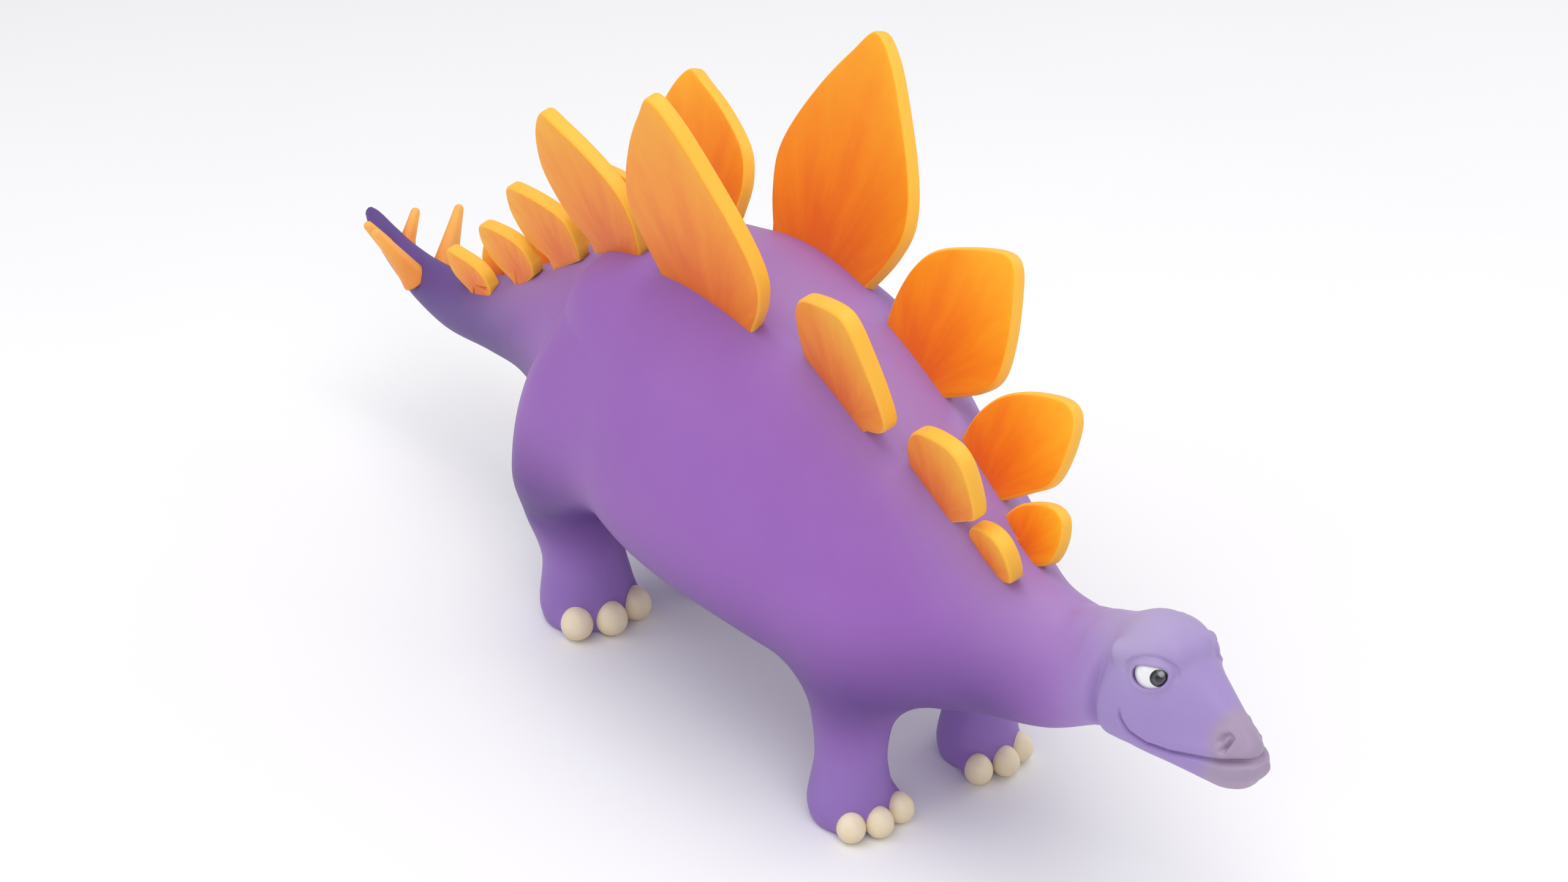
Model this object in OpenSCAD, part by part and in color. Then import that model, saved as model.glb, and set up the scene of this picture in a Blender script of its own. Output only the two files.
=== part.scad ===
// Stuffed toy stegosaurus: a soft vinyl skin in nine sections, stuffed with fibre, over a
// posable armature of links and pins, with sewn-in-place back plates, tail spikes and nails.
// +X points to the head, +Y to the animal's left side and +Z up, with the floor at z = 0.

/* [Overall size] */
// Length from the nose to the tip of the tail
toy_length = 510; // [460:1:570]
// Width across the belly
belly_width = 128; // [120:1:140]
// Height of the bare back above the floor
back_height = 167; // [155:1:185]

/* [Skin and stuffing] */
// Wall of the vinyl skin
skin_wall = 2.4; // [2:0.1:3]
// Gap left between the stuffing and whatever it surrounds
stuffing_gap = 0.4; // [0.2:0.1:0.8]
// Gap between the skin sections at a joint
joint_gap = 0.7; // [0.5:0.1:1.2]
// How far the stuffing stops short of a joint
hinge_room = 10; // [9:0.5:12]

/* [Joints] */
// Turn of the neck, the tail and the tail tip to each side
yaw_range = 20; // [5:1:22]
// Nod of the head, up or down
nod_range = 18; // [5:1:20]
// Swing of each leg, forwards or backwards
leg_range = 12; // [4:1:13]
// Inner face of a front leg, from the centre plane
front_leg_inner = 11; // [10.5:0.5:12]
// Inner face of a hind leg, from the centre plane
hind_leg_inner = 10.5; // [10:0.5:12]

/* [Armature] */
// Diameter of the leg axles
axle_d = 6; // [5:0.5:7]
// Diameter of the neck, head and tail pins
pin_d = 4; // [3:0.5:4.5]
// Radial play of a pin in the link that turns on it
pin_play = 0.05; // [0.02:0.01:0.1]
// Width of the spine beam
beam_w = 9; // [8:0.5:10]
// Height of the spine beam
beam_h = 11; // [9:0.5:13]
// Thickness of a link's eye
eye_h = 6; // [5:0.5:7]
// Side play between an eye and its clevis
eye_play = 0.4; // [0.2:0.1:0.6]
// Thickness of a leg bone's hub
hub_t = 8; // [6:0.5:10]
// Outer diameter of a leg bone's hub
hub_d = 15; // [12:0.5:17]

/* [Plates, spikes and nails] */
// Thickness of a back plate
plate_t = 5.4; // [4:0.2:6]
// How far a plate's root reaches below the skin's surface
root_depth = 5; // [4:0.5:7]
// Slot left round a root
slot_gap = 0.25; // [0.15:0.05:0.4]
// Base diameter of the large tail spikes
spike_d = 12; // [10:0.5:12.5]
// Radius of a front nail
front_nail_r = 4.6; // [4:0.1:5.2]
// Radius of a hind nail
hind_nail_r = 5.6; // [5:0.1:6.2]
// Diameter of an eyeball
eye_d = 12.5; // [11:0.5:13]

/* [Hidden] */
$fn = 48;

purple = "#9a66ba";
muzzle = "#a694c8";
orange = "#f28a22";
cream = "#cdbc9c";
fibre = "#efece6";
steel = "#b8bcc2";
nylon = "#8d9298";

// Scales of the drawn form, which is 510 long, 128 wide and 167 high.
kx = toy_length / 510;
ky = belly_width / 128;
kz = back_height / 167;

// The body's form: x, height of the middle, half height, and half width at the middle's height.
body_form = scaled([
    [-255, 80, 2, 2], [-250, 78, 4, 3.5], [-240, 74, 5.5, 5], [-225, 69.5, 7.5, 6.5],
    [-205, 67, 9.5, 8.5], [-180, 68, 12.5, 10.5], [-145, 77, 16.5, 13.5], [-110, 89, 24, 20],
    [-75, 97, 38, 31], [-45, 101, 48, 45], [-15, 107, 55, 57], [20, 107.5, 59.5, 62],
    [60, 103, 57, 58], [100, 93, 50, 44], [130, 88, 38, 31], [155, 86, 24, 23],
    [180, 91, 18, 18], [198, 96, 17, 16]]);
// The head's form, with the same columns.
head_form = scaled([
    [198, 98, 17, 16], [208, 103, 19, 17.5], [218, 104.5, 19.5, 17], [229, 102, 16.5, 13.5],
    [240, 98.5, 13.5, 11.5], [248, 96.5, 11, 10], [253, 95, 7, 7], [255, 94.5, 3, 3]]);
// How much narrower the body is above its middle than below it.
egg = 0.5;
// Each leg's form: height, x and y of the centre, half length and half width.
front_form = scaled_leg([
    [0, 107, 28, 14, 13.5], [3, 107, 28, 15.5, 15], [9, 107, 28, 15.5, 15.5],
    [25, 105, 28, 12, 12], [42, 105, 28, 15, 13]]);
hind_form = scaled_leg([
    [0, -46, 30, 16.5, 17], [3, -46, 30, 18, 18.5], [9, -46, 30, 18, 19],
    [26, -48, 31, 14.5, 15.5], [42, -48, 32, 16, 15.5]]);

// Joint places.
neck_x = 162 * kx;
neck_z = value(body_form, neck_x)[0];
nod_x = 198 * kx;
nod_z = 97 * kz;
tail_x = -133 * kx;
tail_z = value(body_form, tail_x)[0];
tip_x = -186 * kx;
tip_z = value(body_form, tip_x)[0];
front_hip = [103 * kx, 62 * kz];
hind_hip = [-46 * kx, 64 * kz];
front_hip_r = 24 * kz;
hind_hip_r = 27 * kz;
front_out = 46 * ky;
hind_out = 50 * ky;
hub_y = 24 * ky;
cap_t = 2;

around = 20;

// ---- Forms ----
function scaled(rows) = [for (r = rows) [r[0] * kx, r[1] * kz, r[2] * kz, r[3] * ky]];
function scaled_leg(rows) = [for (r = rows) [r[0] * kz, r[1] * kx, r[2] * ky, r[3] * kx, r[4] * ky]];

// A smooth curve through the rows of a table, at x in its first column.
function row_at(t, x, i = 0) = (i >= len(t) - 2 || x < t[i + 1][0]) ? i : row_at(t, x, i + 1);
function slope(t, i) = let (a = max(i - 1, 0), b = min(i + 1, len(t) - 1))
    (t[b] - t[a]) / (t[b][0] - t[a][0]);
function value(t, x) = let (i = row_at(t, x), d = t[i + 1][0] - t[i][0], u = (x - t[i][0]) / d,
    r = (2*u*u*u - 3*u*u + 1) * t[i] + (u*u*u - 2*u*u + u) * d * slope(t, i)
      + (3*u*u - 2*u*u*u) * t[i + 1] + (u*u*u - u*u) * d * slope(t, i + 1))
    [for (c = [1 : len(r) - 1]) r[c]];

// One ring of the body at x, inset by a wall. A joint's end leans away from the joint by
// yaw_lean for each mm to the side, or by nod_lean for each mm above or below nod_z.
function ring(t, x, inset, yaw_lean = 0, nod_lean = 0) = let (s = value(t, x))
    [for (k = [0 : around - 1]) let (a = 360 * k / around,
        y = (s[2] - inset) * cos(a) / sqrt(1 + egg * sin(a)), z = s[0] + (s[1] - inset) * sin(a))
        [x + yaw_lean * abs(y) + nod_lean * abs(z - nod_z), y, z]];

// A solid through rings. A loop closes the last ring on the first one, for a tube.
module lofted(rings, loop = false) {
    n = len(rings[0]);
    m = len(rings);
    last = loop ? m - 1 : m - 2;
    sides = [for (i = [0 : last], k = [0 : n - 1]) let (j = (i + 1) % m, l = (k + 1) % n)
        each [[i * n + k, j * n + l, i * n + l], [i * n + k, j * n + k, j * n + l]]];
    ends = loop ? [] : [for (k = [0 : n - 1]) let (l = (k + 1) % n)
        each [[m * n, k, l], [m * n + 1, (m - 1) * n + l, (m - 1) * n + k]]];
    first = middle(rings[0]);
    end = middle(rings[m - 1]);
    points = [for (r = rings) each r];
    polyhedron(loop ? points : concat(points, [first, end]), concat(sides, ends), convexity = 6);
}
// The point at the middle of a ring's end face, on the centre plane of a leaning end.
function middle(r) = let (n = len(r), up = r[floor(n / 4)], down = r[floor(3 * n / 4)])
    (up + down) / 2;

// x stations from a to b, no further apart than step.
function steps(a, b, step = 14) = let (n = ceil((b - a) / step)) [for (i = [0 : n]) a + (b - a) * i / n];

yaw_lean = tan(yaw_range / 2 + 0.5);
nod_lean = tan(nod_range / 2 + 0.5);

// ---- Leg form ----
// Rings stacked upwards: the foot and shin from the table, then the round hip about its axle.
function leg_stations(form, hip, hip_r, out) = concat(form,
    [for (a = [-22, 0, 22, 42, 60, 75, 86]) let (c = cos(a))
        [hip[1] + hip_r * sin(a), hip[0], out * 0.5, hip_r * c, out * 0.5 * pow(c, 0.45)]]);
function leg_ring(s, inset, inner) = [for (k = [0 : around - 1]) let (a = 360 * k / around)
    [s[1] + max(s[3] - inset, 0.4) * cos(a),
     max(s[2] + max(s[4] - inset, 0.4) * sin(a), inner + inset), s[0]]];
module leg_form(stations, inset, inner) {
    n = len(stations);
    lofted([for (i = [0 : n - 1]) let (s = stations[i],
        z = i == 0 ? s[0] + inset : i == n - 1 ? s[0] - inset * 1.4 : max(s[0], inset + i * 0.5))
        leg_ring([z, s[1], s[2], s[3], s[4]], inset, inner)]);
}
front_leg = leg_stations(front_form, front_hip, front_hip_r, front_out);
hind_leg = leg_stations(hind_form, hind_hip, hind_hip_r, hind_out);

// Places a left leg's piece, or mirrors it for the right.
module side(s) { if (s > 0) children(); else mirror([0, 1, 0]) children(); }

// The space that a leg sweeps, from its inner face outwards.
module leg_sweep(stations, hip, inner, reach) {
    upper = [for (s = stations) if (s[0] > 30 * kz) s];
    for (turn = [-1, 1])
        hull()
            for (a = [0, turn * (leg_range + 1)])
                translate([hip[0], inner - joint_gap, hip[1]])
                    rotate([0, a, 0])
                        translate([-hip[0], 0, -hip[1]])
                            for (s = upper)
                                translate([s[1] - s[3] - joint_gap, 0, s[0] - joint_gap])
                                    cube([2 * (s[3] + joint_gap), reach, 2 * joint_gap]);
}
module leg_sweeps() {
    for (s = [-1, 1]) side(s) {
        leg_sweep(front_leg, front_hip, front_leg_inner, 80 * ky);
        leg_sweep(hind_leg, hind_hip, hind_leg_inner, 80 * ky);
    }
}

// ---- Plates, spikes and nails ----
// Each pair: x, y and z of the base's front end, its lean, its splay, and its outline from
// there round to the base's rear end, as lengths along and above the base.
pairs = [
    [151, 5.5, 108, 18, -8,
        [[0, 0], [7, 4], [9, 12], [7, 19], [1, 21], [-8, 18], [-13, 13], [-14, 9]]],
    [132, 9, 121, 18, -8,
        [[0, 0], [9, 6], [17, 12], [20, 22], [20, 33], [16, 38], [8, 38], [-3, 35], [-11, 30], [-17, 22], [-20, 13]]],
    [97, 16, 140, 18, -8,
        [[0, 0], [11, 5], [18, 12], [19, 24], [17, 38], [14, 48], [8, 51], [-6, 48], [-18, 43], [-25, 35], [-29, 24], [-30, 15]]],
    [48, 23, 157, 16, 0,
        [[0, 0], [8, 12], [12, 25], [8, 40], [-3, 59], [-14, 74], [-24, 80], [-33, 71], [-44, 57], [-54, 40], [-58, 27], [-56, 14], [-52, 4]]],
    [-20, 20, 159, 16, 0,
        [[0, 0], [1, 12], [-4, 23], [-18, 32], [-33, 38], [-41, 40], [-48, 33], [-53, 22], [-54, 10], [-47, -4], [-36, -12]]],
    [-68, 14, 138, 16, 0,
        [[0, 0], [-1, 8], [-6, 13], [-20, 14], [-35, 13], [-42, 11], [-45, 5], [-45, -3], [-39, -12], [-27, -15]]],
    [-105, 11, 117, 16, 0,
        [[0, 0], [-3, 6], [-11, 8], [-24, 7], [-35, 4], [-38, -4], [-34, -12], [-22, -17]]],
    [-142, 8, 92, 16, 0,
        [[0, 0], [-2, 5], [-8, 8], [-20, 8], [-28, 7], [-31, 1], [-29, -6], [-20, -10]]]];
// A smooth open curve through points, with its ends kept.
function curve(p, n = 3) = let (m = len(p)) concat([for (i = [0 : m - 2], j = [0 : n - 1])
    let (a = p[max(i - 1, 0)], b = p[i], c = p[i + 1], d = p[min(i + 2, m - 1)], u = j / n)
    0.5 * (2 * b + (c - a) * u + (2 * a - 5 * b + 4 * c - d) * u * u + (3 * b - a - 3 * c + d) * u * u * u)],
    [p[m - 1]]);
module plate_solid(i, grow) {
    p = pairs[i];
    outline = curve(p[5]);
    rear = p[5][len(p[5]) - 1];
    // The root goes straight down from the base, a little in from its ends.
    root = [[rear[0] + 1.5, rear[1] - root_depth], [-1.5, -root_depth]];
    translate([p[0] * kx, p[1] * ky, p[2] * kz])
        rotate([0, 0, -p[4]])
            rotate([90 - p[3], 0, 0])
                translate([0, 0, -plate_t / 2 - grow])
                    linear_extrude(plate_t + 2 * grow)
                        offset(delta = grow) polygon(concat(outline, root));
}
module plate(s, i) { color(orange) side(s) plate_solid(i, 0); }
module plate_slots(from, to) {
    for (s = [-1, 1], i = [from : to]) side(s) plate_solid(i, slot_gap);
}

// Tail spikes: x, y and z of the base, tilt back, tilt out, length and share of the base diameter.
spikes = [[-207, 6.6, 69, 17, 29, 26, 1], [-232, 4.2, 73, 20, 32, 13, 0.62]];
module spike(i, grow) {
    p = spikes[i];
    r = spike_d * p[6] / 2;
    for (s = [-1, 1]) side(s)
        translate([p[0] * kx, p[1] * ky, p[2] * kz])
            rotate([-p[4], -p[3], 0]) {
                cylinder(h = p[5], r1 = r + grow, r2 = 1.8 + grow);
                translate([0, 0, p[5]]) sphere(1.8 + grow);
            }
}

// Three nails stand round the front of each foot, each one an egg taller than it is wide.
nail_high = 1.25;
nail_tilt = 14;
// Height of a tilted nail's middle along its own axis, in radii, so that it just stands on the floor.
nail_stand = norm([nail_high * cos(nail_tilt), sin(nail_tilt)]) / cos(nail_tilt);
front_nail_at = [[118.5, 17, -8], [120.5, 27.5, 0], [117, 37, 20]];
hind_nail_at = [[-34, 18, -8], [-31, 31, 0], [-36, 43.5, 24]];
module nails(places, r, grow) {
    for (p = places)
        translate([p[0] * kx, p[1] * ky, 0])
            rotate([0, -nail_tilt, p[2]])
                translate([0, 0, nail_stand * r])
                    scale([1, 0.92, nail_high]) sphere(r + grow, $fn = 24);
}
module toes(places, r) {
    for (p = places)
        translate([p[0] * kx, p[1] * ky, 0]) rotate([0, 0, p[2]]) {
            hull() {
                translate([-r * 1.6, 0, r * 1.15]) sphere(r * 1.12, $fn = 10);
                translate([-r * 0.5, 0, r * 1.1]) sphere(r * 1.04, $fn = 10);
            }
            hull() {
                translate([-r * 1.6, 0, r * 1.15]) sphere(r * 1.12, $fn = 10);
                translate([-r * 3.2, 0, r * 1.9]) sphere(r * 1.2, $fn = 10);
            }
        }
}

// ---- Legs ----
module leg_skin(s, stations, hip, inner, places, r) {
    color(purple) side(s) difference() {
        union() {
            leg_form(stations, 0, inner);
            toes(places, r);
        }
        leg_form(stations, skin_wall, inner);
        nails(places, r, slot_gap);
        translate([hip[0], 0, hip[1]]) rotate([-90, 0, 0]) cylinder(h = inner + 5, d = axle_d + 2);
        translate([0, 0, -50]) cube([900, 400, 100], center = true);
    }
}
module leg_stuffing(s, stations, hip, inner, foot, places, r) {
    color(fibre) side(s) difference() {
        leg_form(stations, skin_wall + stuffing_gap, inner);
        translate([hip[0], inner, hip[1]]) rotate([-90, 0, 0])
            cylinder(h = hub_y + hub_t + cap_t + 3 - inner, d = hub_d + 2);
        bone_shank(hip, foot, stuffing_gap);
        nails(places, r, stuffing_gap);
    }
}
// The bone's shank runs from the hub to just above the sole.
module bone_shank(hip, foot, grow) {
    run = [foot[0] - hip[0], foot[1] - hip[1]];
    translate([hip[0], hub_y + hub_t / 2, hip[1]])
        rotate([0, atan2(run[0], run[1]), 0])
            translate([-4 - grow, -hub_t / 2 + 1 - grow, hub_d / 2 - 2])
                cube([8 + 2 * grow, hub_t - 2 + 2 * grow, norm(run) - hub_d / 2 + 2 + grow]);
}
module leg_bone(s, hip, foot) {
    color(nylon) side(s) difference() {
        union() {
            translate([hip[0], hub_y, hip[1]]) rotate([-90, 0, 0]) cylinder(h = hub_t, d = hub_d);
            bone_shank(hip, foot, 0);
        }
        translate([hip[0], hub_y - 1, hip[1]]) rotate([-90, 0, 0])
            cylinder(h = hub_t + 2, d = axle_d + 2 * pin_play);
    }
}
front_foot = [106 * kx, 14 * kz];
hind_foot = [-47 * kx, 14 * kz];

module front_leg_skin(s) { leg_skin(s, front_leg, front_hip, front_leg_inner, front_nail_at, front_nail_r); }
module hind_leg_skin(s) { leg_skin(s, hind_leg, hind_hip, hind_leg_inner, hind_nail_at, hind_nail_r); }
module front_leg_stuffing(s) {
    leg_stuffing(s, front_leg, front_hip, front_leg_inner, front_foot, front_nail_at, front_nail_r);
}
module hind_leg_stuffing(s) {
    leg_stuffing(s, hind_leg, hind_hip, hind_leg_inner, hind_foot, hind_nail_at, hind_nail_r);
}
module front_nails(s) { color(cream) side(s) nails(front_nail_at, front_nail_r, 0); }
module hind_nails(s) { color(cream) side(s) nails(hind_nail_at, hind_nail_r, 0); }

// ---- Body sections ----
function section(t, a, b, inset, lean_a, lean_b, nod_a = 0, nod_b = 0) = let (x = steps(a, b), n = len(x))
    [for (i = [0 : n - 1]) ring(t, x[i], inset,
        i == 0 ? lean_a : i == n - 1 ? lean_b : 0, i == 0 ? nod_a : i == n - 1 ? nod_b : 0)];
function flipped(rings) = [for (i = [len(rings) - 1 : -1 : 0]) rings[i]];

module torso_skin() {
    a = tail_x + joint_gap;
    b = neck_x - joint_gap;
    color(purple) difference() {
        lofted(section(body_form, a, b, 0, yaw_lean, -yaw_lean));
        lofted(concat([ring(body_form, a - 1, skin_wall)], section(body_form, a, b, skin_wall, 0, 0),
            [ring(body_form, b + 1, skin_wall)]));
        leg_sweeps();
        plate_slots(0, 6);
    }
}
module torso_stuffing() {
    inset = skin_wall + stuffing_gap;
    g = stuffing_gap;
    color(fibre) difference() {
        lofted(section(body_form, tail_x + hinge_room, neck_x - hinge_room, inset, 0, 0));
        leg_sweeps();
        plate_slots(0, 6);
        beam(g);
        axles(g);
    }
}
module neck_skin() {
    a = neck_x + joint_gap;
    b = nod_x - joint_gap;
    color(purple) lofted(concat(section(body_form, a, b, 0, yaw_lean, 0, 0, -nod_lean),
        flipped(section(body_form, a, b, skin_wall, yaw_lean, 0, 0, -nod_lean))), loop = true);
}
module neck_stuffing() {
    color(fibre) difference() {
        lofted(section(body_form, neck_x + hinge_room, nod_x - hinge_room, skin_wall + stuffing_gap, 0, 0));
        link_bar([neck_x, neck_z], [nod_x, nod_z], stuffing_gap);
    }
}

// ---- Head ----
eye_at = [218.3 * kx, 8.4 * ky, 112 * kz];
stem_d = 4;
washer_d = 9;
washer_t = 0.8;
// Inner end of a stem, and inner face of its washer, from the centre plane.
stem_y = 1.1;
washer_y = 1.3;
module head_skin() {
    a = nod_x + joint_gap;
    b = head_form[len(head_form) - 1][0];
    color(muzzle) difference() {
        lofted(section(head_form, a, b, 0, 0, 0, nod_lean));
        lofted(section(head_form, a - 1, b - skin_wall, skin_wall, 0, 0));
        for (s = [-1, 1]) side(s) eye_solid(stuffing_gap);
    }
}
// More room round the head's stuffing, because the head's form turns quickly.
head_room = 2;
module head_stuffing() {
    g = stuffing_gap;
    inset = skin_wall + g + head_room;
    color(fibre) difference() {
        // It ends short of the snout, which stays empty.
        lofted(section(head_form, nod_x + hinge_room, head_form[len(head_form) - 4][0] - inset, inset, 0, 0));
        for (s = [-1, 1]) side(s) { eye_solid(g); washer_solid(g); }
        head_block_solid(g);
    }
}
// A ball eye on a stem, held from inside by a washer pressed on the stem.
module eye_solid(grow) {
    translate(eye_at) sphere(eye_d / 2 + grow);
    translate([eye_at[0], stem_y - grow, eye_at[2]]) rotate([-90, 0, 0])
        cylinder(h = eye_at[1] - stem_y, d = stem_d + 2 * grow);
}
module washer_solid(grow) {
    translate([eye_at[0], washer_y - grow, eye_at[2]]) rotate([-90, 0, 0])
        cylinder(h = washer_t + 2 * grow, d = washer_d + 2 * grow);
}
module eye(s) { color("white") side(s) eye_solid(0); }
module eye_washers() {
    color(nylon) for (s = [-1, 1]) side(s) difference() {
        washer_solid(0);
        translate([eye_at[0], washer_y - 1, eye_at[2]]) rotate([-90, 0, 0])
            cylinder(h = washer_t + 2, d = stem_d);
    }
}

// ---- Tail ----
module tail_base_skin() {
    a = tip_x + joint_gap;
    b = tail_x - joint_gap;
    color(purple) difference() {
        lofted(concat(section(body_form, a, b, 0, yaw_lean, -yaw_lean),
            flipped(section(body_form, a, b, skin_wall, yaw_lean, -yaw_lean))), loop = true);
        plate_slots(7, 7);
    }
}
module tail_base_stuffing() {
    color(fibre) difference() {
        lofted(section(body_form, tip_x + hinge_room, tail_x - hinge_room, skin_wall + stuffing_gap, 0, 0));
        plate_slots(7, 7);
        link_bar([tail_x, tail_z], [tip_x, tip_z], stuffing_gap);
    }
}
module tail_tip_skin() {
    a = body_form[0][0];
    b = tip_x - joint_gap;
    // The cavity ends where the tail gets too thin to stuff.
    cavity = -226 * kx;
    color(purple) difference() {
        lofted(section(body_form, a, b, 0, 0, -yaw_lean));
        lofted(section(body_form, cavity, b + 1, skin_wall, 0, 0));
        spike(0, slot_gap);
        spike(1, slot_gap);
    }
}
module tail_tip_stuffing() {
    color(fibre) difference() {
        lofted(section(body_form, -224 * kx, tip_x - hinge_room, skin_wall + stuffing_gap, 0, 0));
        spike(0, slot_gap);
        tip_bar(stuffing_gap);
    }
}
module front_tail_spikes() { color(orange) spike(0, 0); }
module rear_tail_spikes() { color(orange) spike(1, 0); }

// ---- Armature ----
eye_r = 5;
clevis_t = 2.4;
// A straight bar between two points in the centre plane.
module bar(p, q, w, h, grow = 0) {
    run = q - p;
    translate([p[0], 0, p[1]]) rotate([0, -atan2(run[1], run[0]), 0])
        translate([0, -w / 2 - grow, -h / 2 - grow]) cube([norm(run), w + 2 * grow, h + 2 * grow]);
}
module upright(x, z, h, r, grow = 0) {
    translate([x, 0, z - h / 2 - grow]) cylinder(h = h + 2 * grow, r = r + grow);
}
module crosswise(x, z, w, r) {
    translate([x, -w / 2, z]) rotate([-90, 0, 0]) cylinder(h = w, r = r);
}
clevis_h = eye_h + 2 * eye_play + 2 * clevis_t;
// The yoke behind a link's clevis joins its two ears.
yoke = 3;
yoke_room = 0.6;
// The slot that an eye turns in, cut through a clevis.
module upright_slot(x, z, reach) {
    translate([x - reach, -20, z - eye_h / 2 - eye_play]) cube([2 * reach, 40, eye_h + 2 * eye_play]);
}
// The bosses round the axles stand a little proud of the beam's sides.
boss_w = beam_w + 2;
module beam(grow) {
    bar([tail_x, tail_z], hind_hip, beam_w, beam_h, grow);
    bar(hind_hip, front_hip, beam_w, beam_h, grow);
    bar(front_hip, [neck_x, neck_z], beam_w, beam_h, grow);
    for (p = [hind_hip, front_hip]) crosswise(p[0], p[1], boss_w + 2 * grow, hub_d / 2 + grow);
}
module spine_beam() {
    color(nylon) difference() {
        union() {
            beam(0);
            upright(tail_x, tail_z, clevis_h, eye_r);
            upright(neck_x, neck_z, clevis_h, eye_r);
        }
        upright_slot(tail_x, tail_z, eye_r + 1);
        upright_slot(neck_x, neck_z, eye_r + 1);
        for (p = [[tail_x, tail_z], [neck_x, neck_z]]) upright(p[0], p[1], 40, pin_d / 2);
        for (p = [hind_hip, front_hip]) crosswise(p[0], p[1], 40, axle_d / 2);
    }
}
axle_len = 2 * (hub_y + hub_t + cap_t + 0.5);
module axles(grow) {
    for (p = [hind_hip, front_hip]) crosswise(p[0], p[1], axle_len, axle_d / 2 + grow);
}
module shoulder_axle() { color(steel) crosswise(front_hip[0], front_hip[1], axle_len, axle_d / 2); }
module hip_axle() { color(steel) crosswise(hind_hip[0], hind_hip[1], axle_len, axle_d / 2); }
module axle_caps() {
    color(steel) for (s = [-1, 1], p = [hind_hip, front_hip]) side(s)
        translate([p[0], hub_y + hub_t + 0.4, p[1]]) rotate([-90, 0, 0]) difference() {
            cylinder(h = cap_t, d = axle_d + 6);
            translate([0, 0, -1]) cylinder(h = cap_t + 2, d = axle_d);
        }
}
// A link has an eye for the joint behind it and a clevis for the joint ahead.
// Its bar runs level from the pin until it is clear of the clevis, then on to the other joint.
module link_bar(pin, other, grow) {
    clear = [pin[0] + sign(other[0] - pin[0]) * (eye_r + 3), pin[1]];
    bar(pin, clear, 6, 5.6, grow);
    bar(clear, other, 6, 5.6, grow);
}
module neck_link() {
    color(nylon) difference() {
        union() {
            upright(neck_x, neck_z, eye_h, eye_r);
            difference() {
                link_bar([neck_x, neck_z], [nod_x, nod_z], 0);
                upright(neck_x, neck_z, 40, eye_r - 1);
            }
            crosswise(nod_x, nod_z, clevis_h, eye_r);
            translate([nod_x - eye_r - yoke_room - yoke, -clevis_h / 2, nod_z - eye_r])
                cube([eye_r + yoke_room + yoke, clevis_h, 2 * eye_r]);
        }
        upright(neck_x, neck_z, 40, pin_d / 2 + pin_play);
        translate([nod_x - eye_r - yoke_room, -eye_h / 2 - eye_play, nod_z - 20])
            cube([2 * eye_r + 20, eye_h + 2 * eye_play, 40]);
        crosswise(nod_x, nod_z, 40, pin_d / 2);
    }
}
module neck_pin() { color(steel) upright(neck_x, neck_z, clevis_h, pin_d / 2); }
module nod_pin() { color(steel) crosswise(nod_x, nod_z, clevis_h, pin_d / 2); }
module head_block_solid(grow) {
    bar([nod_x, nod_z], [232 * kx, 98 * kz], eye_h - 2, 7, grow);
}
module head_block() {
    color(nylon) difference() {
        union() {
            crosswise(nod_x, nod_z, eye_h, eye_r);
            head_block_solid(0);
        }
        crosswise(nod_x, nod_z, 40, pin_d / 2 + pin_play);
    }
}
module tail_link() {
    color(nylon) difference() {
        union() {
            upright(tail_x, tail_z, eye_h, eye_r);
            link_bar([tail_x, tail_z], [tip_x, tip_z], 0);
            upright(tip_x, tip_z, clevis_h, eye_r);
            translate([tip_x, -eye_r, tip_z - clevis_h / 2])
                cube([eye_r + yoke_room + yoke, 2 * eye_r, clevis_h]);
        }
        upright_slot(tip_x, tip_z, eye_r + yoke_room);
        upright(tail_x, tail_z, 40, pin_d / 2 + pin_play);
        upright(tip_x, tip_z, 40, pin_d / 2);
    }
}
module tail_pin() { color(steel) upright(tail_x, tail_z, clevis_h, pin_d / 2); }
module tail_tip_pin() { color(steel) upright(tip_x, tip_z, clevis_h, pin_d / 2); }
module tip_bar(grow) { bar([-220 * kx, 68 * kz], [tip_x, tip_z], 4.5, 4.5, grow); }
module tail_tip_link() {
    color(nylon) difference() {
        union() {
            upright(tip_x, tip_z, eye_h, eye_r);
            tip_bar(0);
        }
        upright(tip_x, tip_z, 40, pin_d / 2 + pin_play);
    }
}

torso_skin();
torso_stuffing();
neck_skin();
neck_stuffing();
head_skin();
head_stuffing();
tail_base_skin();
tail_base_stuffing();
tail_tip_skin();
tail_tip_stuffing();
front_leg_skin(1);  // front_left_leg_skin
front_leg_stuffing(1);  // front_left_leg_stuffing
leg_bone(1, front_hip, front_foot);  // front_left_leg_bone
front_nails(1);  // front_left_nails
front_leg_skin(-1);  // front_right_leg_skin
front_leg_stuffing(-1);  // front_right_leg_stuffing
leg_bone(-1, front_hip, front_foot);  // front_right_leg_bone
front_nails(-1);  // front_right_nails
hind_leg_skin(1);  // hind_left_leg_skin
hind_leg_stuffing(1);  // hind_left_leg_stuffing
leg_bone(1, hind_hip, hind_foot);  // hind_left_leg_bone
hind_nails(1);  // hind_left_nails
hind_leg_skin(-1);  // hind_right_leg_skin
hind_leg_stuffing(-1);  // hind_right_leg_stuffing
leg_bone(-1, hind_hip, hind_foot);  // hind_right_leg_bone
hind_nails(-1);  // hind_right_nails
spine_beam();
shoulder_axle();
hip_axle();
axle_caps();
neck_pin();
neck_link();
nod_pin();
head_block();
tail_pin();
tail_link();
tail_tip_pin();
tail_tip_link();
plate(1, 0);  // plate_left_1
plate(1, 1);  // plate_left_2
plate(1, 2);  // plate_left_3
plate(1, 3);  // plate_left_4
plate(1, 4);  // plate_left_5
plate(1, 5);  // plate_left_6
plate(1, 6);  // plate_left_7
plate(1, 7);  // plate_left_8
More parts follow.
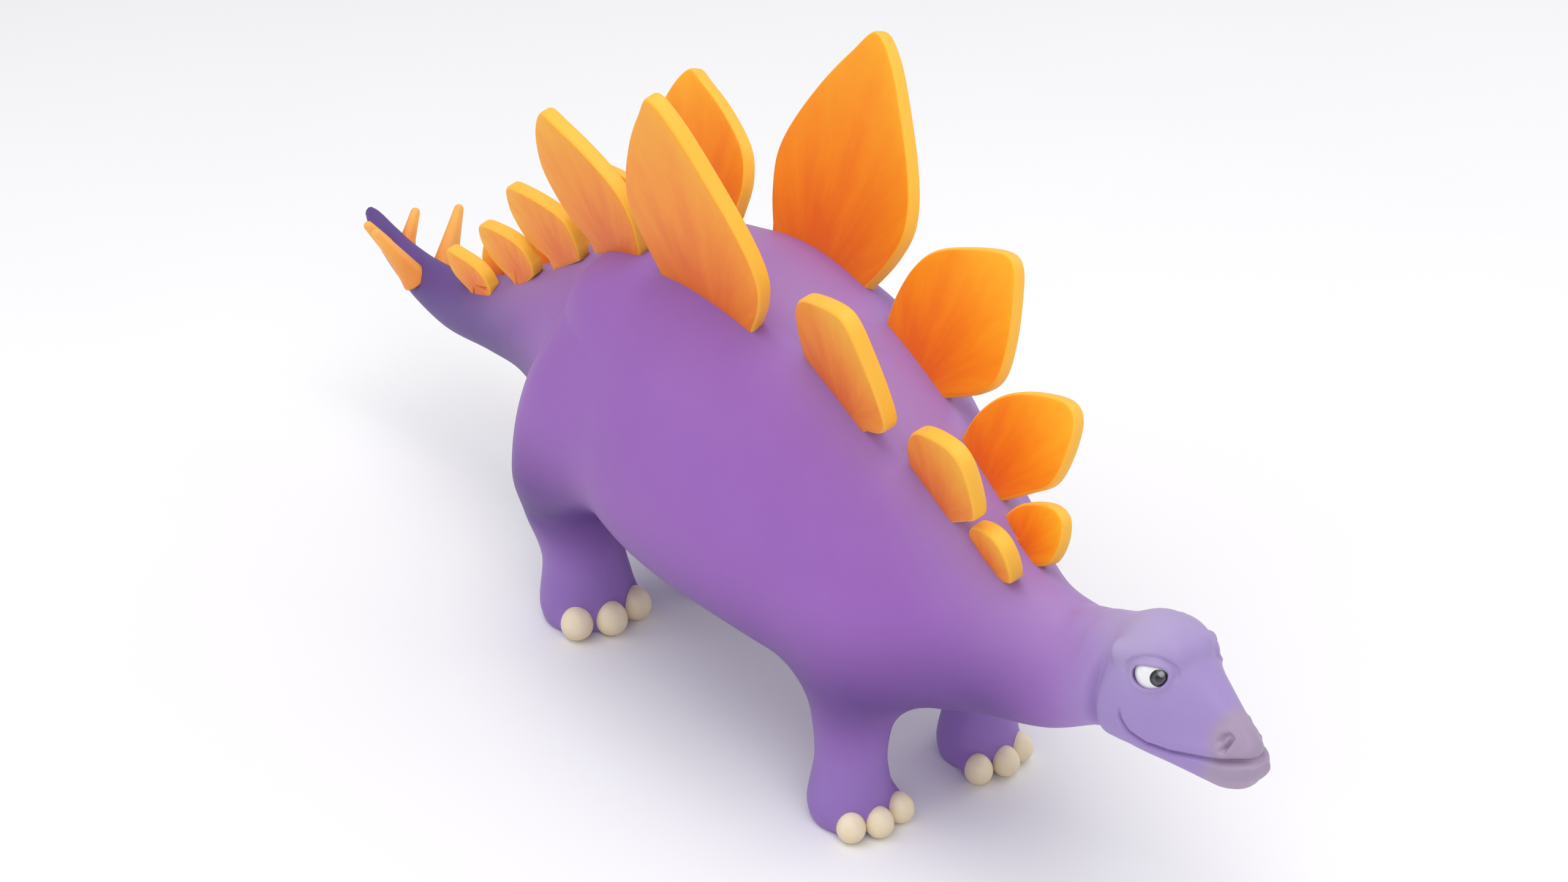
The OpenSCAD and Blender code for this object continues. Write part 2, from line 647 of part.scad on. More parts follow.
plate(-1, 0);  // plate_right_1
plate(-1, 1);  // plate_right_2
plate(-1, 2);  // plate_right_3
plate(-1, 3);  // plate_right_4
plate(-1, 4);  // plate_right_5
plate(-1, 5);  // plate_right_6
plate(-1, 6);  // plate_right_7
plate(-1, 7);  // plate_right_8
front_tail_spikes();
rear_tail_spikes();
eye(1);  // eye_left
eye(-1);  // eye_right
eye_washers();
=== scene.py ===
import bmesh
import bpy
import math
import numpy as np
import openvdb
from mathutils import Matrix, Vector


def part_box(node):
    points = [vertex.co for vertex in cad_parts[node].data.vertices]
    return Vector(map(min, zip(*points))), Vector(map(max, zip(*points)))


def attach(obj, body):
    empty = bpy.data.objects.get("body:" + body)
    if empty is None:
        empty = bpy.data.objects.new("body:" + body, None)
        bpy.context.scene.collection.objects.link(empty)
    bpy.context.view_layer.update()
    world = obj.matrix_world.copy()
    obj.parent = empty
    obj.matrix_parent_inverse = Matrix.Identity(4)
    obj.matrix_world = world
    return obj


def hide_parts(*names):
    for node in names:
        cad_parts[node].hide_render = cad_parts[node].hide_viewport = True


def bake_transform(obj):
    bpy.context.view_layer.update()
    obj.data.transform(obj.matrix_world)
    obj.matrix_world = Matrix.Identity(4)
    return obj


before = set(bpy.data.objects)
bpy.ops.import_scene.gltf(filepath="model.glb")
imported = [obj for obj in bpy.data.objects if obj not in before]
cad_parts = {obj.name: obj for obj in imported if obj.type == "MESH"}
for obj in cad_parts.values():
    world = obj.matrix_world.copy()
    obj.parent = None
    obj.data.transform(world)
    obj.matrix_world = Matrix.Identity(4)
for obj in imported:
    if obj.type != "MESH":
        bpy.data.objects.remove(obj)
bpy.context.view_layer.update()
mm = 0.001


# ---- Camera, table and lights ----
# The toy stands on a plain pale table under big soft lamps. The camera looks down on it
# from in front of its right shoulder.
look_at = Vector((31.3 * mm, 0, 99.7 * mm))
camera_distance = 0.892
camera_azimuth = math.radians(52.8)
camera_elevation = math.radians(29.79)


def srgb(code):
    """A hex colour as linear red, green, blue and alpha."""
    parts = [int(code[i:i + 2], 16) / 255 for i in (1, 3, 5)]
    return [p / 12.92 if p <= 0.04045 else ((p + 0.055) / 1.055) ** 2.4 for p in parts] + [1]


def node(tree, kind, inputs=None, **settings):
    """Adds a node with its settings; an input is a value, or the socket that feeds it."""
    made = tree.nodes.new(kind)
    for key, value in settings.items():
        setattr(made, key, value)
    for key, value in (inputs or {}).items():
        if isinstance(value, bpy.types.NodeSocket):
            tree.links.new(value, made.inputs[key])
        else:
            made.inputs[key].default_value = value
    return made


def material(name, **shader):
    """A material with one Principled shader, its node tree and its shader node."""
    made = bpy.data.materials.new(name)
    made.use_nodes = True
    made.node_tree.nodes.clear()
    principled = node(made.node_tree, "ShaderNodeBsdfPrincipled", shader)
    output = node(made.node_tree, "ShaderNodeOutputMaterial")
    made.node_tree.links.new(principled.outputs[0], output.inputs["Surface"])
    return made, made.node_tree, principled


def noise(tree, place, scale, detail, rough=0.5):
    """A noise texture's value at a place."""
    return node(tree, "ShaderNodeTexNoise",
                {"Vector": place, "Scale": scale, "Detail": detail, "Roughness": rough}).outputs["Fac"]


def scaled(tree, value, times, plus):
    """A value times a number, plus a number or another value."""
    return node(tree, "ShaderNodeMath", {0: value, 1: times, 2: plus}, operation="MULTIPLY_ADD").outputs[0]


def ramp(tree, value, low, high):
    """A ramp over value from one hex colour to another."""
    made = node(tree, "ShaderNodeValToRGB", {"Fac": value})
    made.color_ramp.elements[0].color = srgb(low)
    made.color_ramp.elements[1].color = srgb(high)
    return made


def rough_up(tree, shader, height, strength, depth):
    """Lets a texture's value raise the surface that a shader sees."""
    bump = node(tree, "ShaderNodeBump", {"Height": height, "Strength": strength, "Distance": depth})
    tree.links.new(bump.outputs["Normal"], shader.inputs["Normal"])


def store(mesh, name, values):
    """Keeps a number for each of a mesh's points, as an attribute."""
    layer = mesh.attributes.new(name, "FLOAT", "POINT")
    layer.data.foreach_set("value", np.asarray(values).astype(np.float32))


def face_outwards(made):
    """Turns all of a closed piece's faces outwards."""
    work = bmesh.new()
    work.from_mesh(made.data)
    bmesh.ops.recalc_face_normals(work, faces=work.faces[:])
    work.to_mesh(made.data)
    work.free()


def moved(points, turn):
    """Points after a turn and a move, which one matrix holds."""
    return points @ np.array(turn.to_3x3()).T + np.array(turn.translation)


def piece(name, points, faces, finish, normals=None, smooth=True):
    """A mesh object at the origin with one material."""
    mesh = bpy.data.meshes.new(name)
    mesh.from_pydata(np.asarray(points, float).tolist(), [], [list(map(int, f)) for f in faces])
    mesh.update()
    mesh.polygons.foreach_set("use_smooth", [smooth] * len(mesh.polygons))
    if normals is not None:
        mesh.normals_split_custom_set_from_vertices(np.asarray(normals, float).tolist())
    mesh.materials.append(finish)
    made = bpy.data.objects.new(name, mesh)
    bpy.context.scene.collection.objects.link(made)
    return made


towards_camera = Vector((math.sin(camera_azimuth) * math.cos(camera_elevation),
                         -math.cos(camera_azimuth) * math.cos(camera_elevation),
                         math.sin(camera_elevation)))
lens = bpy.data.cameras.new("camera")
lens.lens = 60.47
lens.sensor_width = 36
lens.clip_start = 0.05
lens.clip_end = 30
camera = bpy.data.objects.new("camera", lens)
camera.matrix_world = (Matrix.Translation(look_at + camera_distance * towards_camera)
                       @ towards_camera.to_track_quat("Z", "Y").to_matrix().to_4x4())
bpy.context.scene.collection.objects.link(camera)
bpy.context.scene.camera = camera

table_paint, tree, shader = material("matt_white_laminate", Roughness=0.7)
grain = node(tree, "ShaderNodeTexNoise", {"Scale": 40.0, "Detail": 2.0})
tone = ramp(tree, grain.outputs["Fac"], "#f9f9fa", "#fdfdfd")
tree.links.new(tone.outputs["Color"], shader.inputs["Base Color"])
half = 4.0
table = piece("table", [(-half, -half, 0), (half, -half, 0), (half, half, 0), (-half, half, 0)],
              [(0, 1, 2, 3)], table_paint, smooth=False)


def lamp(name, place, size, power):
    """A soft square lamp that faces the toy."""
    light = bpy.data.lights.new(name, "AREA")
    light.size = size
    light.energy = power
    made = bpy.data.objects.new(name, light)
    aim = Vector(place) - look_at
    made.matrix_world = Matrix.Translation(place) @ aim.to_track_quat("Z", "Y").to_matrix().to_4x4()
    bpy.context.scene.collection.objects.link(made)


lamp("lamp_over", (0.1, -0.2, 1.5), 1.5, 13)
lamp("lamp_front", (1.3, -0.5, 0.9), 0.9, 4.2)
lamp("lamp_side", (-0.7, -1.3, 0.8), 0.9, 2.4)
lamp("lamp_far", (0.2, 1.4, 0.8), 0.9, 3)
bpy.context.scene.view_settings.view_transform = "Standard"
sky = bpy.data.worlds.new("studio")
sky.use_nodes = True
sky.node_tree.nodes["Background"].inputs["Color"].default_value = srgb("#f4f4f8")
sky.node_tree.nodes["Background"].inputs["Strength"].default_value = 0.58
bpy.context.scene.world = sky


# ---- Vinyl skin ----
# One soft satin vinyl skin, rotation moulded over the whole animal in purple, then airbrushed
# lighter along the back, darker on the tail and shins, and grey round the muzzle. Shade is painted
# into its colour under the body, and a highlight over the shoulders and neck.
# The forms' columns: x, height of the middle, half height, and half width, in millimetres.
body_form = [
    [-255, 80, 2, 2], [-250, 78, 4, 3.5], [-240, 74, 5.5, 5], [-225, 69.5, 7.5, 6.5],
    [-205, 67, 9.5, 8.5], [-180, 68, 12.5, 10.5], [-145, 77, 16.5, 13.5], [-110, 89, 24, 20],
    [-75, 98, 37, 30], [-45, 103.5, 45.5, 43.5], [-15, 109.5, 52.5, 56], [20, 109, 58, 61.5],
    [60, 104.2, 55.8, 57.5], [100, 93.5, 49.5, 44], [130, 88, 38, 31], [155, 85.3, 24.8, 23.5],
    [180, 89.3, 19.8, 19.5], [198, 96.6, 16.2, 15.5], [206, 99, 15, 15]]
head_form = [
    [192, 98, 14, 13], [200, 100, 16, 15], [208, 102.5, 19, 17.5], [218, 104, 19, 17],
    [229, 101, 15.5, 12.3], [240, 97.2, 12.3, 8.7], [247, 95.3, 10, 6.2], [250.5, 94.5, 7.5, 4.6],
    [252.6, 94.2, 3.5, 2.6]]
# The legs' columns: height, x and y of the centre, half length and half width.
front_form = [
    [0, 104, 28, 12.5, 13], [8, 104, 28, 13.5, 14.5], [25, 104.5, 28, 12, 12], [45, 105, 28, 16, 13],
    [65, 106, 27, 22, 17], [90, 100, 24, 27, 21], [115, 95, 16, 18, 14]]
hind_form = [
    [0, -49.5, 30, 15, 17], [8, -49.5, 30, 16, 18.5], [28, -49, 31.5, 14.5, 15.5],
    [50, -47.5, 37, 16.5, 17], [75, -38, 42, 20, 21], [105, -33, 34, 26, 22], [130, -30, 20, 22, 16]]
# How much narrower the body's sections are at the top than at the bottom.
egg = 0.5
leg_cap = 14
# Fillets: behind and ahead of each leg, between neck and head, and round the soles.
crotch_round = {"front": (12, 12), "hind": (4, 22)}
leg_foot = {"front": (107, 28, 0), "hind": (-46, 30, 0)}
head_round = 5
sole_round = 2.5


def through(rows, at):
    """The columns of a smooth curve through a table's rows, at values of its first column."""
    rows = np.array(rows, float)
    first = rows[:, 0]
    before = np.maximum(np.arange(len(rows)) - 1, 0)
    after = np.minimum(np.arange(len(rows)) + 1, len(rows) - 1)
    slope = (rows[after] - rows[before]) / (first[after] - first[before])[:, None]
    at = np.clip(at, first[0], first[-1])
    i = np.clip(np.searchsorted(first, at, side="right") - 1, 0, len(rows) - 2)
    gap = first[i + 1] - first[i]
    u = (at - first[i]) / gap
    return [(2 * u**3 - 3 * u**2 + 1) * rows[i, c] + (u**3 - 2 * u**2 + u) * gap * slope[i, c]
            + (3 * u**2 - 2 * u**3) * rows[i + 1, c] + (u**3 - u**2) * gap * slope[i + 1, c]
            for c in range(1, rows.shape[1])]


def joined(a, b, r):
    """Two forms run together with a fillet of radius r."""
    h = np.clip(0.5 + 0.5 * (b - a) / r, 0, 1)
    return b * (1 - h) + a * h - r * h * (1 - h)


def cut_by(a, b, r):
    """What two forms share, with its edge rounded to r."""
    return -joined(-a, -b, r)


def barrel(rows, x, y, z):
    """Roughly how far a point is outside a form that is built from upright sections."""
    middle, high, wide = through(rows, x)
    up = (z - middle) / high
    share = np.sqrt((y / wide) ** 2 * (1 + egg * np.clip(up, -1, 1)) + up**2 + 1e-12)
    across = np.hypot(y, z - middle) * (1 - 1 / np.maximum(share, 1e-6))
    past = np.maximum(rows[0][0] - x, 0) + np.maximum(x - rows[-1][0], 0)
    return np.where(past > 0, np.hypot(np.maximum(across, 0), past), across)


def pillar(rows, x, y, z):
    """Roughly how far a point is outside a leg that is built from level sections."""
    cx, cy, long, wide = through(rows, z)
    over = np.maximum(z - rows[-1][0], 0) / leg_cap
    share = np.sqrt(((x - cx) / long) ** 2 + ((y - cy) / wide) ** 2 + over**2 + 1e-12)
    away = np.sqrt((x - cx) ** 2 + (y - cy) ** 2 + (over * leg_cap) ** 2)
    return away * (1 - 1 / np.maximum(share, 1e-6))


def rod(x, y, z, a, b, r0, r1):
    """How far a point is outside a rod with round ends of two radii."""
    a, run = np.array(a, float), np.array(b, float) - np.array(a, float)
    u = np.clip(((x - a[0]) * run[0] + (y - a[1]) * run[1] + (z - a[2]) * run[2]) / (run @ run), 0, 1)
    away = np.sqrt((x - a[0] - u * run[0])**2 + (y - a[1] - u * run[1])**2 + (z - a[2] - u * run[2])**2)
    return away - (r0 + (r1 - r0) * u)


def line_in(points, p, q):
    """How far (p, q) is from a line through flat points, and how far along it the nearest point is."""
    best, along, done = np.full(np.broadcast(p, q).shape, 1e9), 0, 0.0
    total = sum(math.dist(a, b) for a, b in zip(points, points[1:]))
    for a, b in zip(points, points[1:]):
        span = math.dist(a, b)
        u = np.clip(((p - a[0]) * (b[0] - a[0]) + (q - a[1]) * (b[1] - a[1])) / span**2, 0, 1)
        away = np.hypot(p - a[0] - u * (b[0] - a[0]), q - a[1] - u * (b[1] - a[1]))
        along = np.where(away < best, (done + u * span) / total, along)
        best = np.minimum(best, away)
        done += span
    return best, along


# The face, in millimetres: x and z along each line, on both sides.
mouth_line = [[213.2, 102.5], [214.6, 98], [217.6, 94.6], [223, 92.4], [230, 92.6], [237, 94.2],
              [243, 95.2], [250, 96.8], [257, 98.6]]
cheek_line = [[201, 108], [200.6, 102], [201.4, 91], [203.6, 84]]
nostril_line = [[243.2, 101.2], [243.4, 102.4], [244.4, 103], [245.4, 102.4], [245.3, 101],
                [244.8, 99.2]]
low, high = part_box("eye_left")
eye_radius = (high.z - low.z) / 2 / mm
eye_place = np.array([(low.x + high.x) / 2 / mm, high.y / mm - eye_radius, (low.z + high.z) / 2 / mm])
# The slit between the lids, in a frame that faces out, along the head and up.
eye_out = np.array([0.40, 0.85, 0.34])
eye_out /= np.linalg.norm(eye_out)
eye_along = np.cross(eye_out, [0, 0, 1.0])
eye_along /= np.linalg.norm(eye_along)
eye_up = np.cross(eye_along, eye_out)
lid = 0.55
lid_edge_least = 0.25
eye_wide = 5.3
eye_high_above = 3.0
eye_high_below = 3.8
eye_shift = (-0.5, -0.4)
eye_tilt = 0.13


def step(value, low, high):
    """Rises smoothly from 0 at low to 1 at high."""
    u = np.clip((value - low) / (high - low), 0, 1)
    return u * u * (3 - 2 * u)


def eye_opening(x, y, z):
    """How far a point is outside the slit between the lids, flat on top and round below."""
    away = [x - eye_place[0], y - eye_place[1], z - eye_place[2]]
    out, along, up = (sum(a * d for a, d in zip(axis, away)) for axis in (eye_out, eye_along, eye_up))
    along, up = along - eye_shift[0], up - eye_shift[1] - eye_tilt * along
    high = np.where(up > 0, eye_high_above, eye_high_below)
    power = np.where(up > 0, 2.8, 2.0)
    share = (np.abs(along / eye_wide) ** power + np.abs(up / high) ** power + 1e-9) ** (1 / power)
    edge = np.hypot(along, up) * (1 - 1 / np.maximum(share, 1e-6))
    return edge, out, up


def head(x, y, z):
    """The head with its brow, lids, mouth and nostrils; y is always to one side."""
    form = barrel(head_form, x, y, z)
    # Nape, crown, brow and jaw.
    form = joined(form, rod(x, y, z, [186, 0, 103.8], [208, 0, 112.7], 8, 8.5), 5)
    crown = np.sqrt(((x - 214) / 12.5)**2 + (y / 11.5)**2 + ((z - 113.2) / 10.5)**2)
    form = joined(form, (crown - 1) * 10.5, 5)
    form = joined(form, rod(x, y, z, [221.2, 4.6, 118], [207, 12.2, 115], 3.2, 2.5), 4)
    form = joined(form, rod(x, y, z, [221.2, 4.6, 118.2], [222.6, 0, 118], 3.2, 3.2), 3.5)
    form = joined(form, rod(x, y, z, [210, 9.5, 93.5], [242.2, 2.4, 91.7], 6.5, 6), 5)
    # Lids over the ball, with a rim, a groove above and the slit between them.
    ball = np.sqrt((x - eye_place[0])**2 + (y - eye_place[1])**2 + (z - eye_place[2])**2) - eye_radius
    edge, out, up = eye_opening(x, y, z)
    form = joined(form, ball - lid, 1.6)
    form = form - 0.28 * np.exp(-((edge - 0.8) / 0.6)**2) * (out > 2)
    form = form + 0.7 * np.exp(-((edge - 2.4) / 0.8)**2) * step(out, 1, 3) * step(up, -1, 1)
    hole = np.where(out > 1.5, edge, 9.0)
    form = cut_by(form, -np.maximum(hole, -(ball + 0.9)), 0.35)
    # A mouth groove that opens towards the front, over a lower lip.
    away, along = line_in(mouth_line, x, z)
    below = np.interp(x, [p[0] for p in mouth_line], [p[1] for p in mouth_line]) - z
    open_lip = step(along, 0.62, 0.9)
    fade = step(along, 0.0, 0.12)
    form = form + (1.4 + 0.9 * open_lip) * fade * np.exp(-(away / (0.6 + 0.3 * open_lip))**2)
    form = form - 0.5 * fade * (below < 0) * np.exp(-((away - 3.0) / 2.0)**2)
    form = form - (0.35 + 1.0 * open_lip) * fade * step(below, 0.2, 1.6) * step(below, 9, 4)
    # Nostril grooves with a raised edge.
    away, along = line_in(nostril_line, x, z)
    side = step(y, 2.5, 4.5)
    form = form + 1.9 * side * np.exp(-(away / 0.55)**2) * (0.5 + 0.5 * along)
    form = form - 0.5 * side * np.exp(-((away - 1.7) / 0.9)**2)
    return form


# Each nail's x and y on the left foot, and the angle that it faces.
nail_places = {"front": [[118.5, 17, -8], [120.5, 27.5, 0], [117, 37, 20]],
               "hind": [[-34, 18, -8], [-31, 31, 0], [-36, 43.5, 24]]}
nail_radius = {"front": 4.6, "hind": 5.6}


def toes(x, y, z, places, r):
    """Three round toes that swell behind the nails."""
    form = np.full(np.broadcast(x, y, z).shape, 1e9)
    for px, py, turn in places:
        ahead = np.array([math.cos(math.radians(turn)), math.sin(math.radians(turn))])
        toe = rod(x, y, z, [px - 0.6 * r * ahead[0], py - 0.6 * r * ahead[1], 1.0 * r],
                  [px - 3.2 * r * ahead[0], py - 3.2 * r * ahead[1], 1.9 * r], r, 1.15 * r)
        form = np.minimum(form, toe)
    return form


def skin(x, y, z):
    """Roughly how far a point is outside the bare animal, in millimetres."""
    y = np.abs(y)
    form = barrel(body_form, x, y, z)
    for name, rows in (("front", front_form), ("hind", hind_form)):
        leg = joined(pillar(rows, x, y, z), toes(x, y, z, nail_places[name], nail_radius[name]), 2.5)
        behind, ahead = crotch_round[name]
        middle = leg_foot[name][0]
        form = joined(form, leg, behind + (ahead - behind) * step(x, middle - 20, middle + 6))
    form = joined(form, head(x, y, z), head_round)
    away, along = line_in(cheek_line, x, z)
    form = form + 3.0 * np.exp(-(away / 2.4)**2) * step(z, 114, 100)
    return cut_by(form, -z, sole_round)


cut_tolerance = 1e-5


def slope_of(form, points, h=0.15):
    """The form's gradient at points."""
    axes = np.eye(3) * h
    return np.stack([(form(*(points + a).T) - form(*(points - a).T)) / (2 * h) for a in axes], 1)


def surface(form, low, high, grid):
    """The form's zero surface in a box as points and quads, with the grid's points moved onto it."""
    low, high = np.array(low, float), np.array(high, float)
    count = np.ceil((high - low) / grid).astype(int) + 1
    axes = [low[i] + grid * np.arange(count[i]) for i in range(3)]
    x, y, z = axes[0][:, None, None], axes[1][None, :, None], axes[2][None, None, :]
    if low[1] == -high[1]:
        # The form is the same on both sides, so only one side is worked out.
        count[1] = 2 * int(high[1] / grid) + 1
        one_side = form(x, (grid * np.arange(count[1] // 2 + 1))[None, :, None], z)
        values = np.concatenate([one_side[:, :0:-1], one_side], 1)
        low[1] = -grid * (count[1] // 2)
    else:
        values = form(x, y, z)
    band = 4 * grid
    values = np.clip(values, -band, band).astype(np.float32)
    volume = openvdb.FloatGrid(band)
    volume.copyFromArray(values)
    points, _, quads = volume.convertToPolygons(isovalue=0.0, adaptivity=0.0)
    points = np.array(points, float) * grid + low
    for _ in range(3):
        gradient = slope_of(form, points)
        size = np.maximum((gradient**2).sum(1), 0.05)
        move = gradient * (form(*points.T) / size)[:, None]
        points = points - np.clip(move, -grid, grid)
    return points, np.array(quads)


def beyond_planes(points, faces, planes):
    """A working mesh of what lies on the far side of every plane, cut clean along it."""
    work = bmesh.new()
    made = [work.verts.new(p) for p in points]
    for f in faces:
        work.faces.new([made[i] for i in f])
    for place, normal in planes:
        bmesh.ops.bisect_plane(work, geom=work.verts[:] + work.edges[:] + work.faces[:], dist=cut_tolerance,
                               plane_co=place, plane_no=normal, clear_inner=True)
    return work


def connected(work, keep):
    """Removes all but the part of a mesh that holds the vertex nearest to keep."""
    work.verts.ensure_lookup_table()
    start = min(work.verts, key=lambda v: (v.co - Vector(keep)).length)
    found, edge = {start}, [start]
    while edge:
        for e in edge.pop().link_edges:
            for v in e.verts:
                if v not in found:
                    found.add(v)
                    edge.append(v)
    bmesh.ops.delete(work, geom=[v for v in work.verts if v not in found], context="VERTS")


def read_back(work):
    """A working mesh's points and faces."""
    work.verts.index_update()
    points = np.array([v.co for v in work.verts])
    faces = [[v.index for v in f.verts] for f in work.faces]
    work.free()
    return points, faces


def walled(work):
    """The skin of a working mesh as points, faces and normals. Its open edges are closed."""
    points, faces = read_back(work)
    normals = slope_of(skin, points, 0.25)
    normals /= np.linalg.norm(normals, axis=1)[:, None]
    n = len(points)
    used = {}
    for f in faces:
        for a, b in zip(f, f[1:] + f[:1]):
            used[(a, b)] = used.get((a, b), 0) + 1
    rims = [(a, b) for a, b in used if (b, a) not in used]
    inside = [[i + n for i in reversed(f)] for f in faces]
    closing = [[b, a, a + n, b + n] for a, b in rims]
    # The lids are thinner than the rest, so that they fit over the balls.
    from_eye = np.linalg.norm(points * [1, 0, 1] + np.abs(points) * [0, 1, 0] - eye_place, axis=1)
    thick = np.clip(0.45 * (from_eye - eye_radius), lid_edge_least, wall)[:, None]
    return (np.concatenate([points, points - thick * normals]), faces + inside + closing,
            np.concatenate([normals, -normals]))


def mirrored(points, faces, normals):
    """The same piece on the animal's other side."""
    flip = np.array([1, -1, 1])
    return points * flip, [f[::-1] for f in faces], normals * flip


wall = 2.4
joint_x = {"torso_neck": (0.150, 0.176), "neck_head": (0.186, 0.208),
           "torso_tail": (-0.1275, -0.141), "tail_tip": (-0.176, -0.198)}
leg_tilt = math.radians(25)
leg_cut = {"front": (12, 36.5), "hind": (12, 43)}
# Half the length of the box that holds a leg, its inner and outer sides, and its top.
leg_reach = 34
leg_in, leg_far, leg_top = 4, 62, 74
below_floor = -4
outwards = np.array([0, math.sin(leg_tilt), -math.cos(leg_tilt)])


def airbrush_and_painted_light(made, points):
    """Stores where the airbrush went and where shade and highlight are painted, as attributes of the skin,
    and each point's place at rest.
    """
    x, y, z = points.T
    top = np.array(through(body_form, x))[0:2].sum(0)
    # Lighter along the back, and widened over the shoulders and neck into a painted highlight.
    pale_back_and_painted_highlight = step(z - top, -26 - 16 * step(x, 60, 110), -1) * step(np.abs(y), 34, 6) * step(x, -190, -120)
    nape = step(x, 140, 190) * step(x, 236, 206) * step(z, 104, 122)
    nose = np.sqrt(((x - 252) / 15)**2 + (y / 15)**2 + ((z - 101) / 12)**2)
    lip = np.sqrt(((x - 250) / 15)**2 + (y / 14)**2 + ((z - 91) / 8)**2)
    muzzle = np.maximum(step(nose, 1.15, 0.75), step(lip, 1.15, 0.8))
    tail = step(x, -110, -190)
    shin = step(z, 58, 14) * step(x, 160, 150)
    middle, high, _ = through(body_form, x)
    # Painted shade: darker towards the underside of the body, not on the head, fading out down the legs.
    belly = step(z - (middle - high), 48, 0) * step(x, 200, 160) * step(z, 22, 60)
    values = {"pale_back_and_painted_highlight": pale_back_and_painted_highlight, "nape": nape, "muzzle": muzzle, "tail": tail, "shin": shin, "belly": belly,
              "head": step(x, 178, 208)}
    for name, value in values.items():
        store(made.data, name, value)
    rest = made.data.attributes.new("rest_place", "FLOAT_VECTOR", "POINT")
    rest.data.foreach_set("vector", (points * mm).astype(np.float32).ravel())


# Satin soft PVC: an even purple with a faint cloudy airbrush and a leathery grain under the sheen.
# Painted shade under the body and a painted highlight over the shoulders are mixed into its colour.
vinyl, tree, shader = material("airbrushed_soft_pvc_painted_light", Roughness=0.46)
shader.inputs["IOR"].default_value = 1.5
shader.inputs["Specular IOR Level"].default_value = 0.3
shader.inputs["Subsurface Weight"].default_value = 0.06
shader.inputs["Subsurface Radius"].default_value = (0.004, 0.002, 0.004)
shader.inputs["Subsurface Scale"].default_value = 1.0
rest_place = node(tree, "ShaderNodeAttribute", attribute_name="rest_place").outputs["Vector"]
cloud = noise(tree, rest_place, 28.0, 3.0, 0.55)
patchy = scaled(tree, cloud, 0.5, 0.75)


def node_mix(under, over):
    """A colour mix whose first colour is under and second over."""
    mix = node(tree, "ShaderNodeMix", data_type="RGBA")
    for socket, value in ((mix.inputs[6], under), (mix.inputs[7], over)):
        if isinstance(value, bpy.types.NodeSocket):
            tree.links.new(value, socket)
        else:
            socket.default_value = srgb(value)
    return mix


def sprayed(name):
    """The mask that a skin's attribute holds, for an airbrushed colour or for painted shade or highlight."""
    return node(tree, "ShaderNodeAttribute", attribute_name=name).outputs["Fac"]


base = node_mix("#925eb0", "#9c69ba")
tree.links.new(cloud, base.inputs["Factor"])
colour = base.outputs[2]
# 53337c is painted shade under the body; #ab8bc2 is the lighter airbrush along the back, widened into a
# painted highlight over the shoulders and neck.
for name, over, strength in (("belly", "#53337c", 0.92), ("pale_back_and_painted_highlight", "#ab8bc2", 0.6), ("tail", "#604789", 0.9),
                             ("shin", "#8f78bc", 0.55), ("head", "#a08fc4", 0.75), ("nape", "#b2a4c6", 0.7),
                             ("muzzle", "#a594a8", 0.85)):
    mask = sprayed(name)
    amount = node(tree, "ShaderNodeMath", {0: mask, 1: strength}, operation="MULTIPLY")
    soft = node(tree, "ShaderNodeMath", {0: amount.outputs[0], 1: patchy},
                operation="MULTIPLY", use_clamp=True)
    mix = node_mix(colour, over)
    tree.links.new(soft.outputs[0], mix.inputs["Factor"])
    colour = mix.outputs[2]
tree.links.new(colour, shader.inputs["Base Color"])
# The real grain is about 0.3 mm across; it is drawn at 0.9 mm so that it shows.
rough_up(tree, shader, noise(tree, rest_place, 1 / (0.9 * mm), 2.0), 0.12, 0.0004)
tree.links.new(scaled(tree, cloud, 0.12, 0.40), shader.inputs["Roughness"])


def section(low, high, grid, planes, keep=None):
    """A walled length of skin between planes. keep picks the part to hold on to."""
    work = beyond_planes(*surface(skin, low, high, grid), planes)
    if keep is not None:
        connected(work, keep)
    return walled(work)


def add_skin(name, parts, nodes):
    """Makes a skin piece, stores its airbrush and painted light masks, and says what it replaces."""
    points, faces, normals = parts
    made = piece(name, points * mm, faces, vinyl, normals)
    airbrush_and_painted_light(made, points)
    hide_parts(*nodes)
    return made


def across(x, towards):
    """The upright plane at x, keeping what lies towards +1 or -1."""
    return ((x / mm, 0, 0), (towards, 0, 0))


margin = 6
start, end = joint_x["neck_head"]
made = add_skin("head_skin_vinyl",
                section((start / mm - margin, -26, 70), (262, 26, 138), 0.6, [across(start, 1)]),
                ["head_skin"])
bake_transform(made)

neck_from, neck_to = joint_x["torso_neck"]
made = add_skin("neck_skin_vinyl",
                section((neck_from / mm - margin, -34, 52), (start / mm + margin, 34, 122), 1.6,
                        [across(neck_from, 1), across(start, -1)]),
                ["neck_skin"])
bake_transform(made)

tail_from, tail_to = joint_x["torso_tail"]
tip_from, tip_to = joint_x["tail_tip"]
made = add_skin("tail_base_skin_vinyl",
                section((tip_from / mm - margin, -24, 44), (tail_from / mm + margin, 24, 112), 1.6,
                        [across(tail_from, -1), across(tip_from, 1)]),
                ["tail_base_skin"])
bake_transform(made)

made = add_skin("tail_tip_skin_vinyl",
                section((-262, -18, 50), (tip_from / mm + margin, 18, 92), 1.3,
                        [across(tip_from, -1)]),
                ["tail_tip_skin"])
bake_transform(made)

